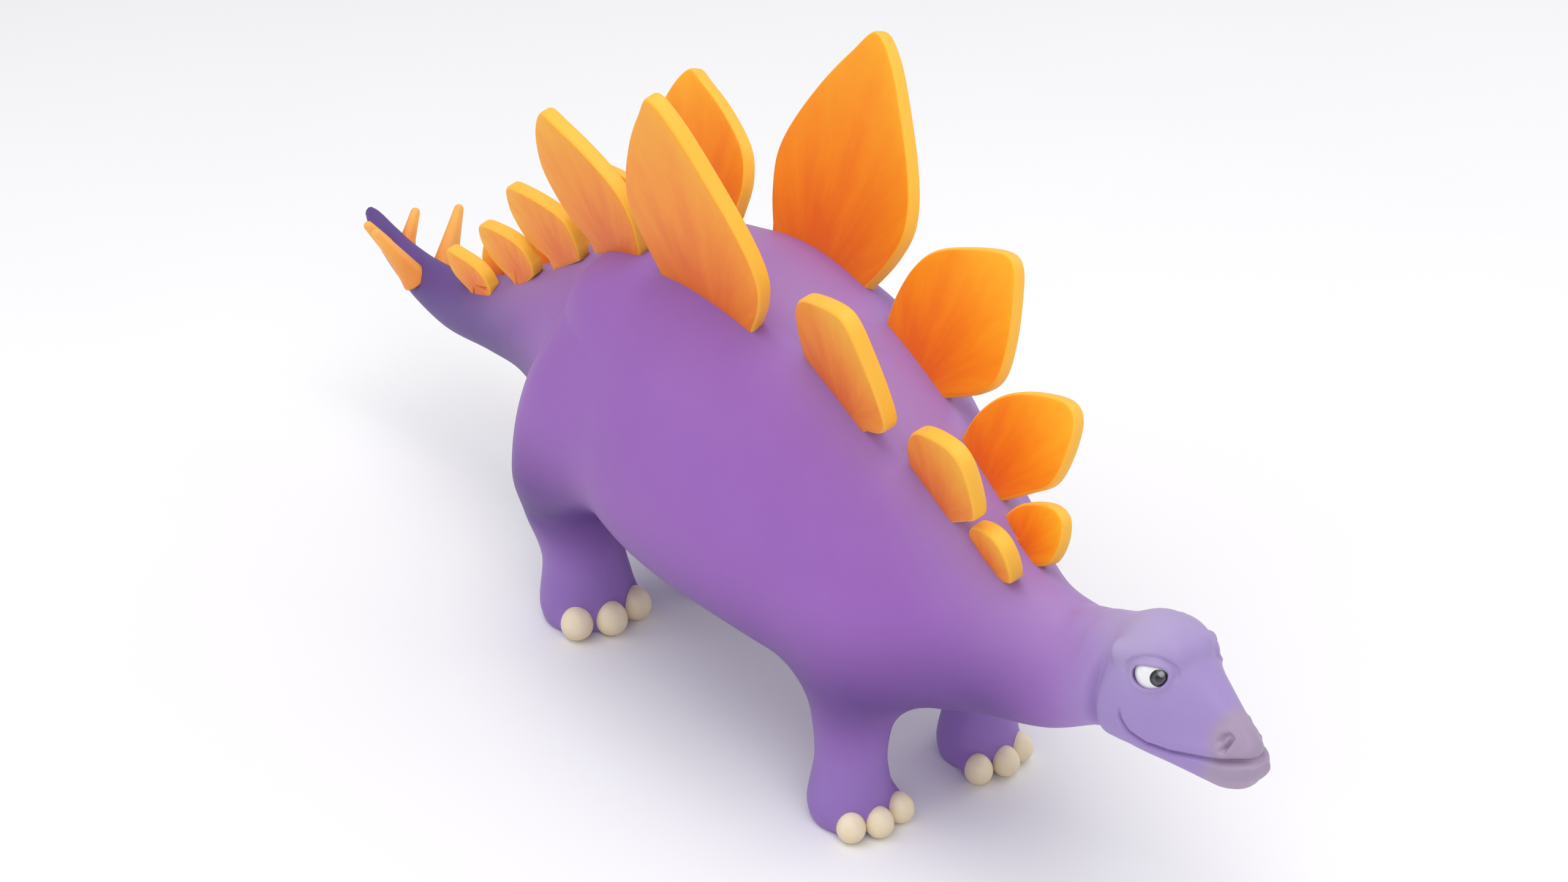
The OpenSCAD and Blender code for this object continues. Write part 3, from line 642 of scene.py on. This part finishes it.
leg_planes = {}
for end_name, (cut_y, cut_z) in leg_cut.items():
    foot = leg_foot[end_name]
    place = np.array([foot[0], cut_y, cut_z])
    parts = section((foot[0] - leg_reach, leg_in, below_floor), (foot[0] + leg_reach, leg_far, leg_top),
                    1.4, [(place, outwards)], keep=foot)
    for side, turned in (("left", parts), ("right", mirrored(*parts))):
        sign = 1 if side == "left" else -1
        flip = np.array([1, sign, 1])
        leg = f"{end_name}_{side}_leg"
        made = add_skin(f"{leg}_skin_vinyl", turned, [f"{leg}_skin"])
        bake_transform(made)
        leg_planes[(end_name, sign)] = (place * flip, outwards * flip)


def by_leg(face, place, sign):
    """Whether a face's middle is over or under the box that holds a leg."""
    middle = face.calc_center_median()
    return abs(middle.x - place[0]) < leg_reach and middle.y * sign > leg_in


points, faces = surface(skin, (tail_from / mm - margin, -70, below_floor),
                        (neck_from / mm + margin, 70, 176), 2.2)
work = beyond_planes(points, faces, (across(tail_from, 1), across(neck_from, -1)))
for (end_name, sign), (place, normal) in leg_planes.items():
    near = [f for f in work.faces if by_leg(f, place, sign) and f.calc_center_median().z < leg_top]
    near = near + list({e for f in near for e in f.edges}) + list({v for f in near for v in f.verts})
    bmesh.ops.bisect_plane(work, geom=near, dist=cut_tolerance, plane_co=place, plane_no=normal)
    foot = Vector(leg_foot[end_name])
    foot.y *= sign
    beyond = {f for f in work.faces if by_leg(f, place, sign)
              and (f.calc_center_median() - Vector(place)).dot(Vector(normal)) > 0}
    first = min(beyond, key=lambda f: (f.calc_center_median() - foot).length)
    found, edge = {first}, [first]
    while edge:
        for e in edge.pop().edges:
            for g in e.link_faces:
                if g in beyond and g not in found:
                    found.add(g)
                    edge.append(g)
    bmesh.ops.delete(work, geom=list(found), context="FACES")
connected(work, (20, 0, 167))
torso = add_skin("torso_skin_vinyl", walled(work), ["torso_skin"])
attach(torso, "torso")


# ---- Stuffing ----
# Loose polyester fibre is packed into each length of skin. It stops short of the joints, and
# leaves room round the armature.
fibre_gap = 1.0
# The hips' x and z, round which the stuffing leaves room for the leg bones.
hips = [[103, 62], [-46, 64]]

# Carded polyester staple: matt white, with soft clumps and fine strands.
fibre, tree, shader = material("carded_polyester_fibre", Roughness=0.9)
shader.inputs["Sheen Weight"].default_value = 0.4
place = node(tree, "ShaderNodeTexCoord").outputs["Object"]
tone = ramp(tree, noise(tree, place, 1 / (9 * mm), 4.0), "#dcdcd8", "#f6f6f3")
tree.links.new(tone.outputs["Color"], shader.inputs["Base Color"])
# Strands are about 0.02 mm thick; they are drawn 0.6 mm apart so that they show.
combed = node(tree, "ShaderNodeMapping", {"Vector": place, "Scale": (0.25, 1.0, 1.0)})
rough_up(tree, shader, noise(tree, combed.outputs["Vector"], 1 / (0.6 * mm), 3.0), 0.6, 0.0006)


def past_cut(end_name, y, z):
    """How far a point is past the plane where a leg starts."""
    cut_y, cut_z = leg_cut[end_name]
    return (np.abs(y) - cut_y) * outwards[1] + (z - cut_z) * outwards[2]


def packed(x, y, z):
    """The form of the stuffing before it is cut into lengths."""
    lumps = 0.4 * np.sin(x / 4.1) * np.sin(y / 4.7 + 1) * np.sin(z / 4.3)
    form = skin(x, y, z) + wall + fibre_gap + lumps
    for hip_x, hip_z in hips:
        form = cut_by(form, -rod(x, np.abs(y), z, [hip_x, 22, hip_z], [hip_x, 28, 22], 9, 6), 1)
    balls = np.sqrt((x - eye_place[0])**2 + (np.abs(y) - eye_place[1])**2 + (z - eye_place[2])**2)
    return cut_by(form, -(balls - eye_radius - 1), 1)


def length_of(first, last):
    """The form of the stuffing between two planes across the body, without the legs."""
    def form(x, y, z):
        legs = np.where(x > 30, past_cut("front", y, z), past_cut("hind", y, z))
        return cut_by(packed(x, y, z), np.maximum(np.maximum(first - x, x - last), legs), 1.5)
    return form


def add_fibre(name, points, faces):
    """Makes a stuffing piece from a closed surface."""
    made = piece(f"{name}_fibre", points * mm, faces, fibre)
    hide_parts(name)
    return made


fibre_grid = {"torso": 4.5, "neck": 2.5, "head": 2.2, "tail_base": 2.2, "tail_tip": 1.8}
for name in ("torso", "neck", "head", "tail_base", "tail_tip"):
    low, high = (np.array(corner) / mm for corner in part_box(f"{name}_stuffing"))
    grid = fibre_grid[name]
    side = math.ceil(max(high[1], -low[1]) / grid + 2) * grid
    points, faces = surface(length_of(low[0], high[0]), (low[0] - 2 * grid, -side, low[2] - 2 * grid),
                            (high[0] + 2 * grid, side, high[2] + 2 * grid), grid)
    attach(add_fibre(f"{name}_stuffing", points, faces), name)

for end_name, foot in leg_foot.items():
    points, faces = surface(lambda x, y, z: cut_by(packed(x, y, z), -past_cut(end_name, y, z), 1.5),
                            (foot[0] - leg_reach, leg_in, below_floor),
                            (foot[0] + leg_reach, leg_far, leg_top), 2.4)
    for side, sign in (("left", 1), ("right", -1)):
        turned = points * [1, sign, 1]
        leg = f"{end_name}_{side}_leg"
        made = add_fibre(f"{leg}_stuffing", turned, [f if sign > 0 else f[::-1] for f in faces])
        place, normal = leg_planes[(end_name, sign)]
        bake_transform(made)


# ---- Armature ----
# A posable armature of moulded nylon links on steel pins holds the toy's pose from inside.
# Its parts come straight from the frame and only get their finish here.
def plain_finish(name, colour, roughness, metallic, grain_mm):
    """A hard finish with a fine grain over its colour and roughness."""
    made, tree, shader = material(name, Metallic=metallic)
    place = node(tree, "ShaderNodeTexCoord").outputs["Object"]
    speck = noise(tree, place, 1 / (grain_mm * mm), 3.0)
    tone = ramp(tree, speck, colour, colour)
    tone.color_ramp.elements[0].color = [c * 0.86 for c in srgb(colour)[:3]] + [1]
    tree.links.new(tone.outputs["Color"], shader.inputs["Base Color"])
    tree.links.new(scaled(tree, speck, 0.15, roughness - 0.07), shader.inputs["Roughness"])
    return made


# Natural nylon 6: milky grey with a soft moulded sheen.
moulded_nylon = plain_finish("moulded_nylon", "#b9bcba", 0.5, 0.0, 1.5)
# Drawn steel wire rod: bright with fine draw marks.
drawn_steel = plain_finish("drawn_steel", "#c3c6ca", 0.3, 1.0, 0.6)
for name, cad_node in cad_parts.items():
    steel_part = name.endswith(("_axle", "_pin", "axle_caps"))
    cad_node.data.materials.clear()
    cad_node.data.materials.append(drawn_steel if steel_part else moulded_nylon)


# ---- Back plates ----
# Eight pairs of stiff vinyl plates, cut from one 5 mm moulding, stand in two rows on the back.
# They are sprayed from deep orange at the root to yellow at the rim and glued into slots.
# Each pair: x, y and z of the base's front end, its lean, its splay, and its outline.
plate_pairs = [
    [151, 5.5, 108, 18, -8, [[0, 0], [7, 4], [9, 12], [7, 19], [1, 21], [-8, 18], [-13, 13], [-14, 9]]],
    [132, 9, 121, 18, -8,
     [[0, 0], [9, 6], [17, 12], [20, 22], [20, 33], [16, 38], [8, 38], [-3, 35], [-11, 30], [-17, 22],
      [-20, 13]]],
    [97, 16, 140, 18, -8,
     [[0, 0], [11, 5], [18, 12], [19, 24], [17, 38], [14, 48], [8, 51], [-6, 48], [-18, 43], [-25, 35],
      [-29, 24], [-30, 15]]],
    [48, 23, 157, 16, 0,
     [[0, 0], [8, 12], [12, 25], [8, 40], [-3, 59], [-14, 74], [-24, 80], [-33, 71], [-44, 57], [-54, 40],
      [-58, 27], [-56, 14], [-52, 4]]],
    [-20, 20, 159, 16, 0,
     [[0, 0], [1, 12], [-4, 23], [-18, 32], [-33, 38], [-41, 40], [-48, 33], [-53, 22], [-54, 10], [-47, -4],
      [-36, -12]]],
    [-68, 14, 138, 16, 0,
     [[0, 0], [-1, 8], [-6, 13], [-20, 14], [-35, 13], [-42, 11], [-45, 5], [-45, -3], [-39, -12],
      [-27, -15]]],
    [-105, 11, 117, 16, 0,
     [[0, 0], [-3, 6], [-11, 8], [-24, 7], [-35, 4], [-38, -4], [-34, -12], [-22, -17]]],
    [-142, 8, 92, 16, 0,
     [[0, 0], [-2, 5], [-8, 8], [-20, 8], [-28, 7], [-31, 1], [-29, -6], [-20, -10]]]]
plate_thick = 5.4
plate_edge = 1.3
plate_swell = 0.35
root_deep = 5


def curve_through(points, n):
    """A smooth open curve through flat points, n steps to a span."""
    p = np.array(points, float)
    out = []
    for i in range(len(p) - 1):
        a, b, c, d = p[max(i - 1, 0)], p[i], p[i + 1], p[min(i + 2, len(p) - 1)]
        for u in np.arange(n) / n:
            out.append(0.5 * (2 * b + (c - a) * u + (2 * a - 5 * b + 4 * c - d) * u**2
                              + (3 * b - a - 3 * c + d) * u**3))
    return np.array(out + [p[-1]])


# Sprayed stiff PVC: orange streaks fan out from the root and fade to yellow at the rim.
plate_paint, tree, shader = material("sprayed_stiff_pvc", Roughness=0.42)
shader.inputs["Specular IOR Level"].default_value = 0.2
spot = node(tree, "ShaderNodeUVMap", uv_map="fan").outputs["UV"]
parts = node(tree, "ShaderNodeSeparateXYZ", {"Vector": spot})
fan = node(tree, "ShaderNodeMapping", {"Vector": spot, "Scale": (9.0, 1.1, 1.0)})
climb = scaled(tree, noise(tree, fan.outputs["Vector"], 1.6, 4.0, 0.6), 0.75, -0.38)
height = node(tree, "ShaderNodeMath", {0: parts.outputs["Y"], 1: climb}, operation="ADD")
fade = ramp(tree, height.outputs[0], "#ee7422", "#ffb52a")
fade.color_ramp.elements[0].position = 0.12
fade.color_ramp.elements.new(0.52).color = srgb("#fb9420")
rim = node(tree, "ShaderNodeAttribute", attribute_name="rim").outputs["Fac"]
edge_tint = node(tree, "ShaderNodeMix", {"Factor": rim, 6: fade.outputs["Color"], 7: srgb("#ffbf45")},
                 data_type="RGBA")
tree.links.new(edge_tint.outputs[2], shader.inputs["Base Color"])
rough_up(tree, shader, noise(tree, fan.outputs["Vector"], 18.0, 2.0), 0.15, 0.0003)


def ring_faces(rings, n):
    """The quads between rings of n points that follow one another."""
    return [[k * n + i, k * n + (i + 1) % n, (k + 1) * n + (i + 1) % n, (k + 1) * n + i]
            for k in range(rings - 1) for i in range(n)]


def plate_mesh(pair):
    """A plate's points and faces in its own frame, with its fan of UVs and its rim."""
    outline = curve_through(pair[5], 6)
    rear = outline[-1]
    foot = np.array([[rear[0] + 1.5, rear[1] - root_deep], [-1.5, -root_deep]])
    across_root = [foot[0] + (foot[1] - foot[0]) * u for u in np.linspace(0, 1, 9)]
    loop = np.concatenate([outline, across_root])
    ahead, behind = np.roll(loop, -1, 0), np.roll(loop, 1, 0)
    run = ahead - behind
    run /= np.linalg.norm(run, axis=1)[:, None]
    inward = np.stack([-run[:, 1], run[:, 0]], 1)
    root_middle = (outline[0] + rear) / 2
    centre = root_middle * 0.62 + loop.mean(0) * 0.38
    reach = np.linalg.norm(outline - root_middle, axis=1).max()
    rings, tall = [], []
    for a in np.linspace(0, math.pi / 2, 6):
        rings.append(loop + inward * plate_edge * (1 - math.cos(a)))
        tall.append(plate_thick / 2 - plate_edge * (1 - math.sin(a)))
    flat = rings[-1]
    for u in (0.93, 0.84, 0.72, 0.58, 0.42, 0.24):
        rings.append(centre + (flat - centre) * u)
        tall.append(plate_thick / 2 + plate_swell * (1 - u))
    n = len(loop)
    layers = [np.column_stack([r, np.full(n, t)]) for r, t in zip(rings, tall)]
    points = np.concatenate(layers + [[[*centre, plate_thick / 2 + plate_swell]]])
    faces = ring_faces(len(layers), n)
    last = (len(layers) - 1) * n
    faces += [[last + i, last + (i + 1) % n, len(points) - 1] for i in range(n)]
    m = len(points)
    other = points * [1, 1, -1]
    faces += [[i + m for i in reversed(f)] for f in faces]
    faces += [[i, i + m, (i + 1) % n + m, (i + 1) % n] for i in range(n)]
    points = np.concatenate([points, other])
    flat_points = points[:, :2] - root_middle
    distance = np.linalg.norm(flat_points, axis=1)
    turn = np.arctan2(flat_points[:, 0], flat_points[:, 1] + 0.25 * reach) / math.pi
    uv = np.stack([turn + 0.5, distance / reach], 1)
    on_rim = [[t < plate_thick / 2 - 0.1] * n for t in tall] + [[False]]
    return points, faces, uv, np.tile(np.concatenate(on_rim), 2)


def placed(points, pair, sign):
    """Stands a plate on the back, on the left for +1 or mirrored on the right for -1."""
    turn = (Matrix.Translation((pair[0], pair[1], pair[2])) @ Matrix.Rotation(math.radians(-pair[4]), 4, "Z")
            @ Matrix.Rotation(math.radians(90 - pair[3]), 4, "X"))
    return moved(points, turn) * [1, sign, 1]


for number, pair in enumerate(plate_pairs, 1):
    points, faces, uv, rim_share = plate_mesh(pair)
    for side, sign in (("left", 1), ("right", -1)):
        turned = placed(points, pair, sign)
        made = piece(f"plate_{side}_{number}_vinyl", turned * mm,
                     [f if sign < 0 else f[::-1] for f in faces], plate_paint)
        face_outwards(made)
        fan_map = made.data.uv_layers.new(name="fan")
        corners = np.array([corner.vertex_index for corner in made.data.loops])
        fan_map.data.foreach_set("uv", uv[corners].astype(np.float32).ravel())
        store(made.data, "rim", rim_share)
        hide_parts(f"plate_{side}_{number}")
        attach(made, "tail_base" if number == 8 else "torso")


# ---- Tail spikes ----
# Two pairs of solid vinyl spikes, each turned to a flared foot and a blunt tip, are set into
# the tail tip. They have the plates' orange, lighter at the tip.
# Each pair: x, y and z of the base, tilt back, tilt out, length and share of the base diameter.
spike_pairs = [[-207, 6.6, 69, 17, 29, 26, 1], [-232, 4.2, 73, 20, 32, 13, 0.62]]
spike_diameter = 12
spike_tip = 1.8
# How far up a spike its flared foot ends, and the radius there, as shares.
flare_top = 0.14
neck_share = 0.84

spike_paint, tree, shader = material("sprayed_solid_pvc", Roughness=0.4)
height = node(tree, "ShaderNodeAttribute", attribute_name="height").outputs["Fac"]
place = node(tree, "ShaderNodeTexCoord").outputs["Object"]
fade = ramp(tree, scaled(tree, noise(tree, place, 160.0, 3.0), 0.3, height), "#ef8832", "#ffb452")
tree.links.new(fade.outputs["Color"], shader.inputs["Base Color"])

for label, (x, y, z, back, out, length, share) in zip(("front", "rear"), spike_pairs):
    r = spike_diameter * share / 2
    profile = [(-0.5, r), (0, r), (0.06 * length, r * 0.93), (flare_top * length, r * neck_share)]
    profile += [(u * length, r * neck_share + (spike_tip * 1.1 - r * neck_share)
                 * ((u - flare_top) / (1 - flare_top)) ** 0.95) for u in np.linspace(0.24, 1.0, 9)]
    profile += [(length + spike_tip * math.sin(a), spike_tip * 1.1 * math.cos(a))
                for a in np.radians([25, 50, 72])]
    n = 32
    points = [(radius * math.cos(a), radius * math.sin(a), h) for h, radius in profile
              for a in 2 * math.pi * np.arange(n) / n]
    points += [(0, 0, -0.5), (0, 0, length + spike_tip)]
    rows = len(profile)
    faces = ring_faces(rows, n)
    faces += [[(i + 1) % n, i, rows * n] for i in range(n)]
    faces += [[(rows - 1) * n + i, (rows - 1) * n + (i + 1) % n, rows * n + 1] for i in range(n)]
    turn = (Matrix.Translation((x, y, z)) @ Matrix.Rotation(math.radians(-back), 4, "Y")
            @ Matrix.Rotation(math.radians(-out), 4, "X"))
    left = moved(np.array(points), turn)
    both = np.concatenate([left, left * [1, -1, 1]])
    both_faces = faces + [[i + len(points) for i in reversed(f)] for f in faces]
    made = piece(f"{label}_tail_spikes_vinyl", both * mm, both_faces, spike_paint)
    store(made.data, "height", np.tile([p[2] / length for p in points], 2))
    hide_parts(f"{label}_tail_spikes")
    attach(made, "tail_tip")


# ---- Toenails ----
# Three solid vinyl nails stand round the front of each foot. Each is an egg with a blunt edge,
# pressed into the toe and painted bone.
nail_paint, tree, shader = material("painted_bone_pvc", Roughness=0.38)
place = node(tree, "ShaderNodeTexCoord").outputs["Object"]
rise = node(tree, "ShaderNodeSeparateXYZ", {"Vector": place})
up_nail = scaled(tree, rise.outputs["Z"], 1 / (13 * mm), 0.0)
fade = ramp(tree, scaled(tree, noise(tree, place, 220.0, 3.0), 0.35, up_nail), "#d6c29c", "#f9e9c8")
tree.links.new(fade.outputs["Color"], shader.inputs["Base Color"])


def nail_tree():
    """Sets a nail on each point, turned to that point's own angle."""
    made = bpy.data.node_groups.new("set_nails", "GeometryNodeTree")
    made.interface.new_socket("Places", in_out="INPUT", socket_type="NodeSocketGeometry")
    for name, value in (("Radius", 0.005), ("Height", 1.25), ("Tilt", 0.0)):
        made.interface.new_socket(name, in_out="INPUT", socket_type="NodeSocketFloat").default_value = value
    made.interface.new_socket("Finish", in_out="INPUT", socket_type="NodeSocketMaterial")
    made.interface.new_socket("Nails", in_out="OUTPUT", socket_type="NodeSocketGeometry")
    given = node(made, "NodeGroupInput")
    ball = node(made, "GeometryNodeMeshUVSphere",
                {"Segments": 32, "Rings": 24, "Radius": given.outputs["Radius"]})
    at = node(made, "GeometryNodeInputPosition")
    axes = node(made, "ShaderNodeSeparateXYZ", {"Vector": at.outputs[0]})
    over = node(made, "ShaderNodeMath", {0: axes.outputs["Z"], 1: given.outputs["Radius"]},
                operation="DIVIDE")
    taper = scaled(made, over.outputs[0], -0.09, 0.97)
    sides = {}
    for axis, by in (("X", taper), ("Y", taper), ("Z", given.outputs["Height"])):
        sides[axis] = node(made, "ShaderNodeMath", {0: axes.outputs[axis], 1: by},
                           operation="MULTIPLY").outputs[0]
    shape = node(made, "ShaderNodeCombineXYZ", sides)
    egg_form = node(made, "GeometryNodeSetPosition",
                    {"Geometry": ball.outputs["Mesh"], "Position": shape.outputs[0]})
    turned = node(made, "GeometryNodeInputNamedAttribute", {"Name": "turn"}, data_type="FLOAT")
    spin = node(made, "ShaderNodeCombineXYZ", {"Y": given.outputs["Tilt"], "Z": turned.outputs[0]})
    set_on = node(made, "GeometryNodeInstanceOnPoints",
                  {"Points": given.outputs["Places"], "Instance": egg_form.outputs["Geometry"],
                   "Rotation": spin.outputs[0]})
    real = node(made, "GeometryNodeRealizeInstances", {"Geometry": set_on.outputs["Instances"]})
    smooth = node(made, "GeometryNodeSetShadeSmooth", {"Geometry": real.outputs["Geometry"]})
    painted = node(made, "GeometryNodeSetMaterial",
                   {"Geometry": smooth.outputs["Geometry"], "Material": given.outputs["Finish"]})
    node(made, "NodeGroupOutput", {"Nails": painted.outputs["Geometry"]})
    return made


nails_set = nail_tree()
nail_tilt = math.radians(14)
nail_tall = 1.08
nail_wide = 1.1
nail_stand = math.hypot(nail_tall * math.cos(nail_tilt), math.sin(nail_tilt))
for end_name in ("front", "hind"):
    r = nail_radius[end_name] * nail_wide
    for side, sign in (("left", 1), ("right", -1)):
        lean = nail_stand * r * math.tan(nail_tilt)
        spots = []
        for px, py, turn in nail_places[end_name]:
            a = math.radians(turn)
            spots.append((px - lean * math.cos(a), sign * (py - lean * math.sin(a)), nail_stand * r))
        mesh = bpy.data.meshes.new("nail_spots")
        mesh.from_pydata([tuple(c * mm for c in s) for s in spots], [], [])
        store(mesh, "turn", [sign * math.radians(p[2]) for p in nail_places[end_name]])
        holder = bpy.data.objects.new("nail_spots", mesh)
        bpy.context.scene.collection.objects.link(holder)
        modifier = holder.modifiers.new("nails", "NODES")
        modifier.node_group = nails_set
        sizes = {"Radius": r * mm, "Height": nail_tall, "Tilt": -nail_tilt, "Finish": nail_paint}
        for socket in nails_set.interface.items_tree:
            if socket.in_out == "INPUT" and socket.name in sizes:
                modifier[socket.identifier] = sizes[socket.name]
        view = bpy.context.evaluated_depsgraph_get()
        real = bpy.data.meshes.new_from_object(holder.evaluated_get(view))
        bpy.data.objects.remove(holder)
        name = f"{end_name}_{side}_nails"
        made = bpy.data.objects.new(name + "_vinyl", real)
        bpy.context.scene.collection.objects.link(made)
        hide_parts(name)
        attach(made, f"{end_name}_{side}_leg")


# ---- Eyes ----
# Polished white styrene balls on stems, pressed into the sockets from inside. A black pupil is pad
# printed at the front corner of each, and a grey highlight is painted onto it as a glint.
# Where the pupil and the painted glint face, from the left ball's centre, and half the pupil's angle.
gaze = np.array([0.757, 0.595, 0.271])
gaze /= np.linalg.norm(gaze)
glint = np.array([0.76, 0.455, 0.463])
glint /= np.linalg.norm(glint)
iris_turn = math.radians(25)

eye_gloss, tree, shader = material("polished_styrene_printed_pupil_painted_glint", Roughness=0.12)
shader.inputs["Coat Weight"].default_value = 0.5
ring = node(tree, "ShaderNodeAttribute", attribute_name="from_pupil").outputs["Fac"]
iris = ramp(tree, ring, "#15151a", "#eeedf0")
for stop, colour in ((0.20, "#1b1b20"), (0.24, "#4b4b50"), (0.36, "#3a3a40"), (0.40, "#1a1a1e"),
                     (0.485, "#202024"), (0.515, "#e9e8ec")):
    iris.color_ramp.elements.new(stop).color = srgb(colour)
# A grey highlight is painted over the iris where the glint falls.
spark = node(tree, "ShaderNodeAttribute", attribute_name="from_glint").outputs["Fac"]
painted_glint_mask = node(tree, "ShaderNodeValToRGB", {"Fac": spark})
painted_glint_mask.color_ramp.elements[0].position = 0.035
painted_glint_mask.color_ramp.elements[0].color = (1, 1, 1, 1)
painted_glint_mask.color_ramp.elements[1].position = 0.055
painted_glint_mask.color_ramp.elements[1].color = (0, 0, 0, 1)
iris_with_painted_glint = node(tree, "ShaderNodeMix",
           {"Factor": painted_glint_mask.outputs["Color"], 6: iris.outputs["Color"], 7: srgb("#8d8d90")},
           data_type="RGBA")
tree.links.new(iris_with_painted_glint.outputs[2], shader.inputs["Base Color"])

for side, sign in (("left", 1), ("right", -1)):
    points, faces = [], []
    n, rings = 96, 64
    pole = eye_out
    one = np.cross(pole, [0, 0, 1.0])
    one /= np.linalg.norm(one)
    two = np.cross(pole, one)
    for k in range(1, rings):
        a = math.pi * k / rings
        for b in 2 * math.pi * np.arange(n) / n:
            points.append(math.cos(a) * pole + math.sin(a) * (math.cos(b) * one + math.sin(b) * two))
    points += [pole, -pole]
    faces = [[k * n + i, (k + 1) * n + i, (k + 1) * n + (i + 1) % n, k * n + (i + 1) % n]
             for k in range(rings - 2) for i in range(n)]
    faces += [[i, (i + 1) % n, len(points) - 2] for i in range(n)]
    faces += [[(rings - 2) * n + (i + 1) % n, (rings - 2) * n + i, len(points) - 1] for i in range(n)]
    unit = np.array(points)
    from_pupil = np.clip(0.5 * np.arccos(np.clip(unit @ gaze, -1, 1)) / iris_turn, 0, 1)
    from_glint = np.arccos(np.clip(unit @ glint, -1, 1)) / math.pi
    ball = (eye_place + unit * eye_radius) * [1, sign, 1]
    made = piece(f"eye_{side}_ball", ball * mm, faces, eye_gloss)
    face_outwards(made)
    store(made.data, "from_pupil", from_pupil)
    store(made.data, "from_glint", from_glint)
    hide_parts(f"eye_{side}")
    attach(made, "head")
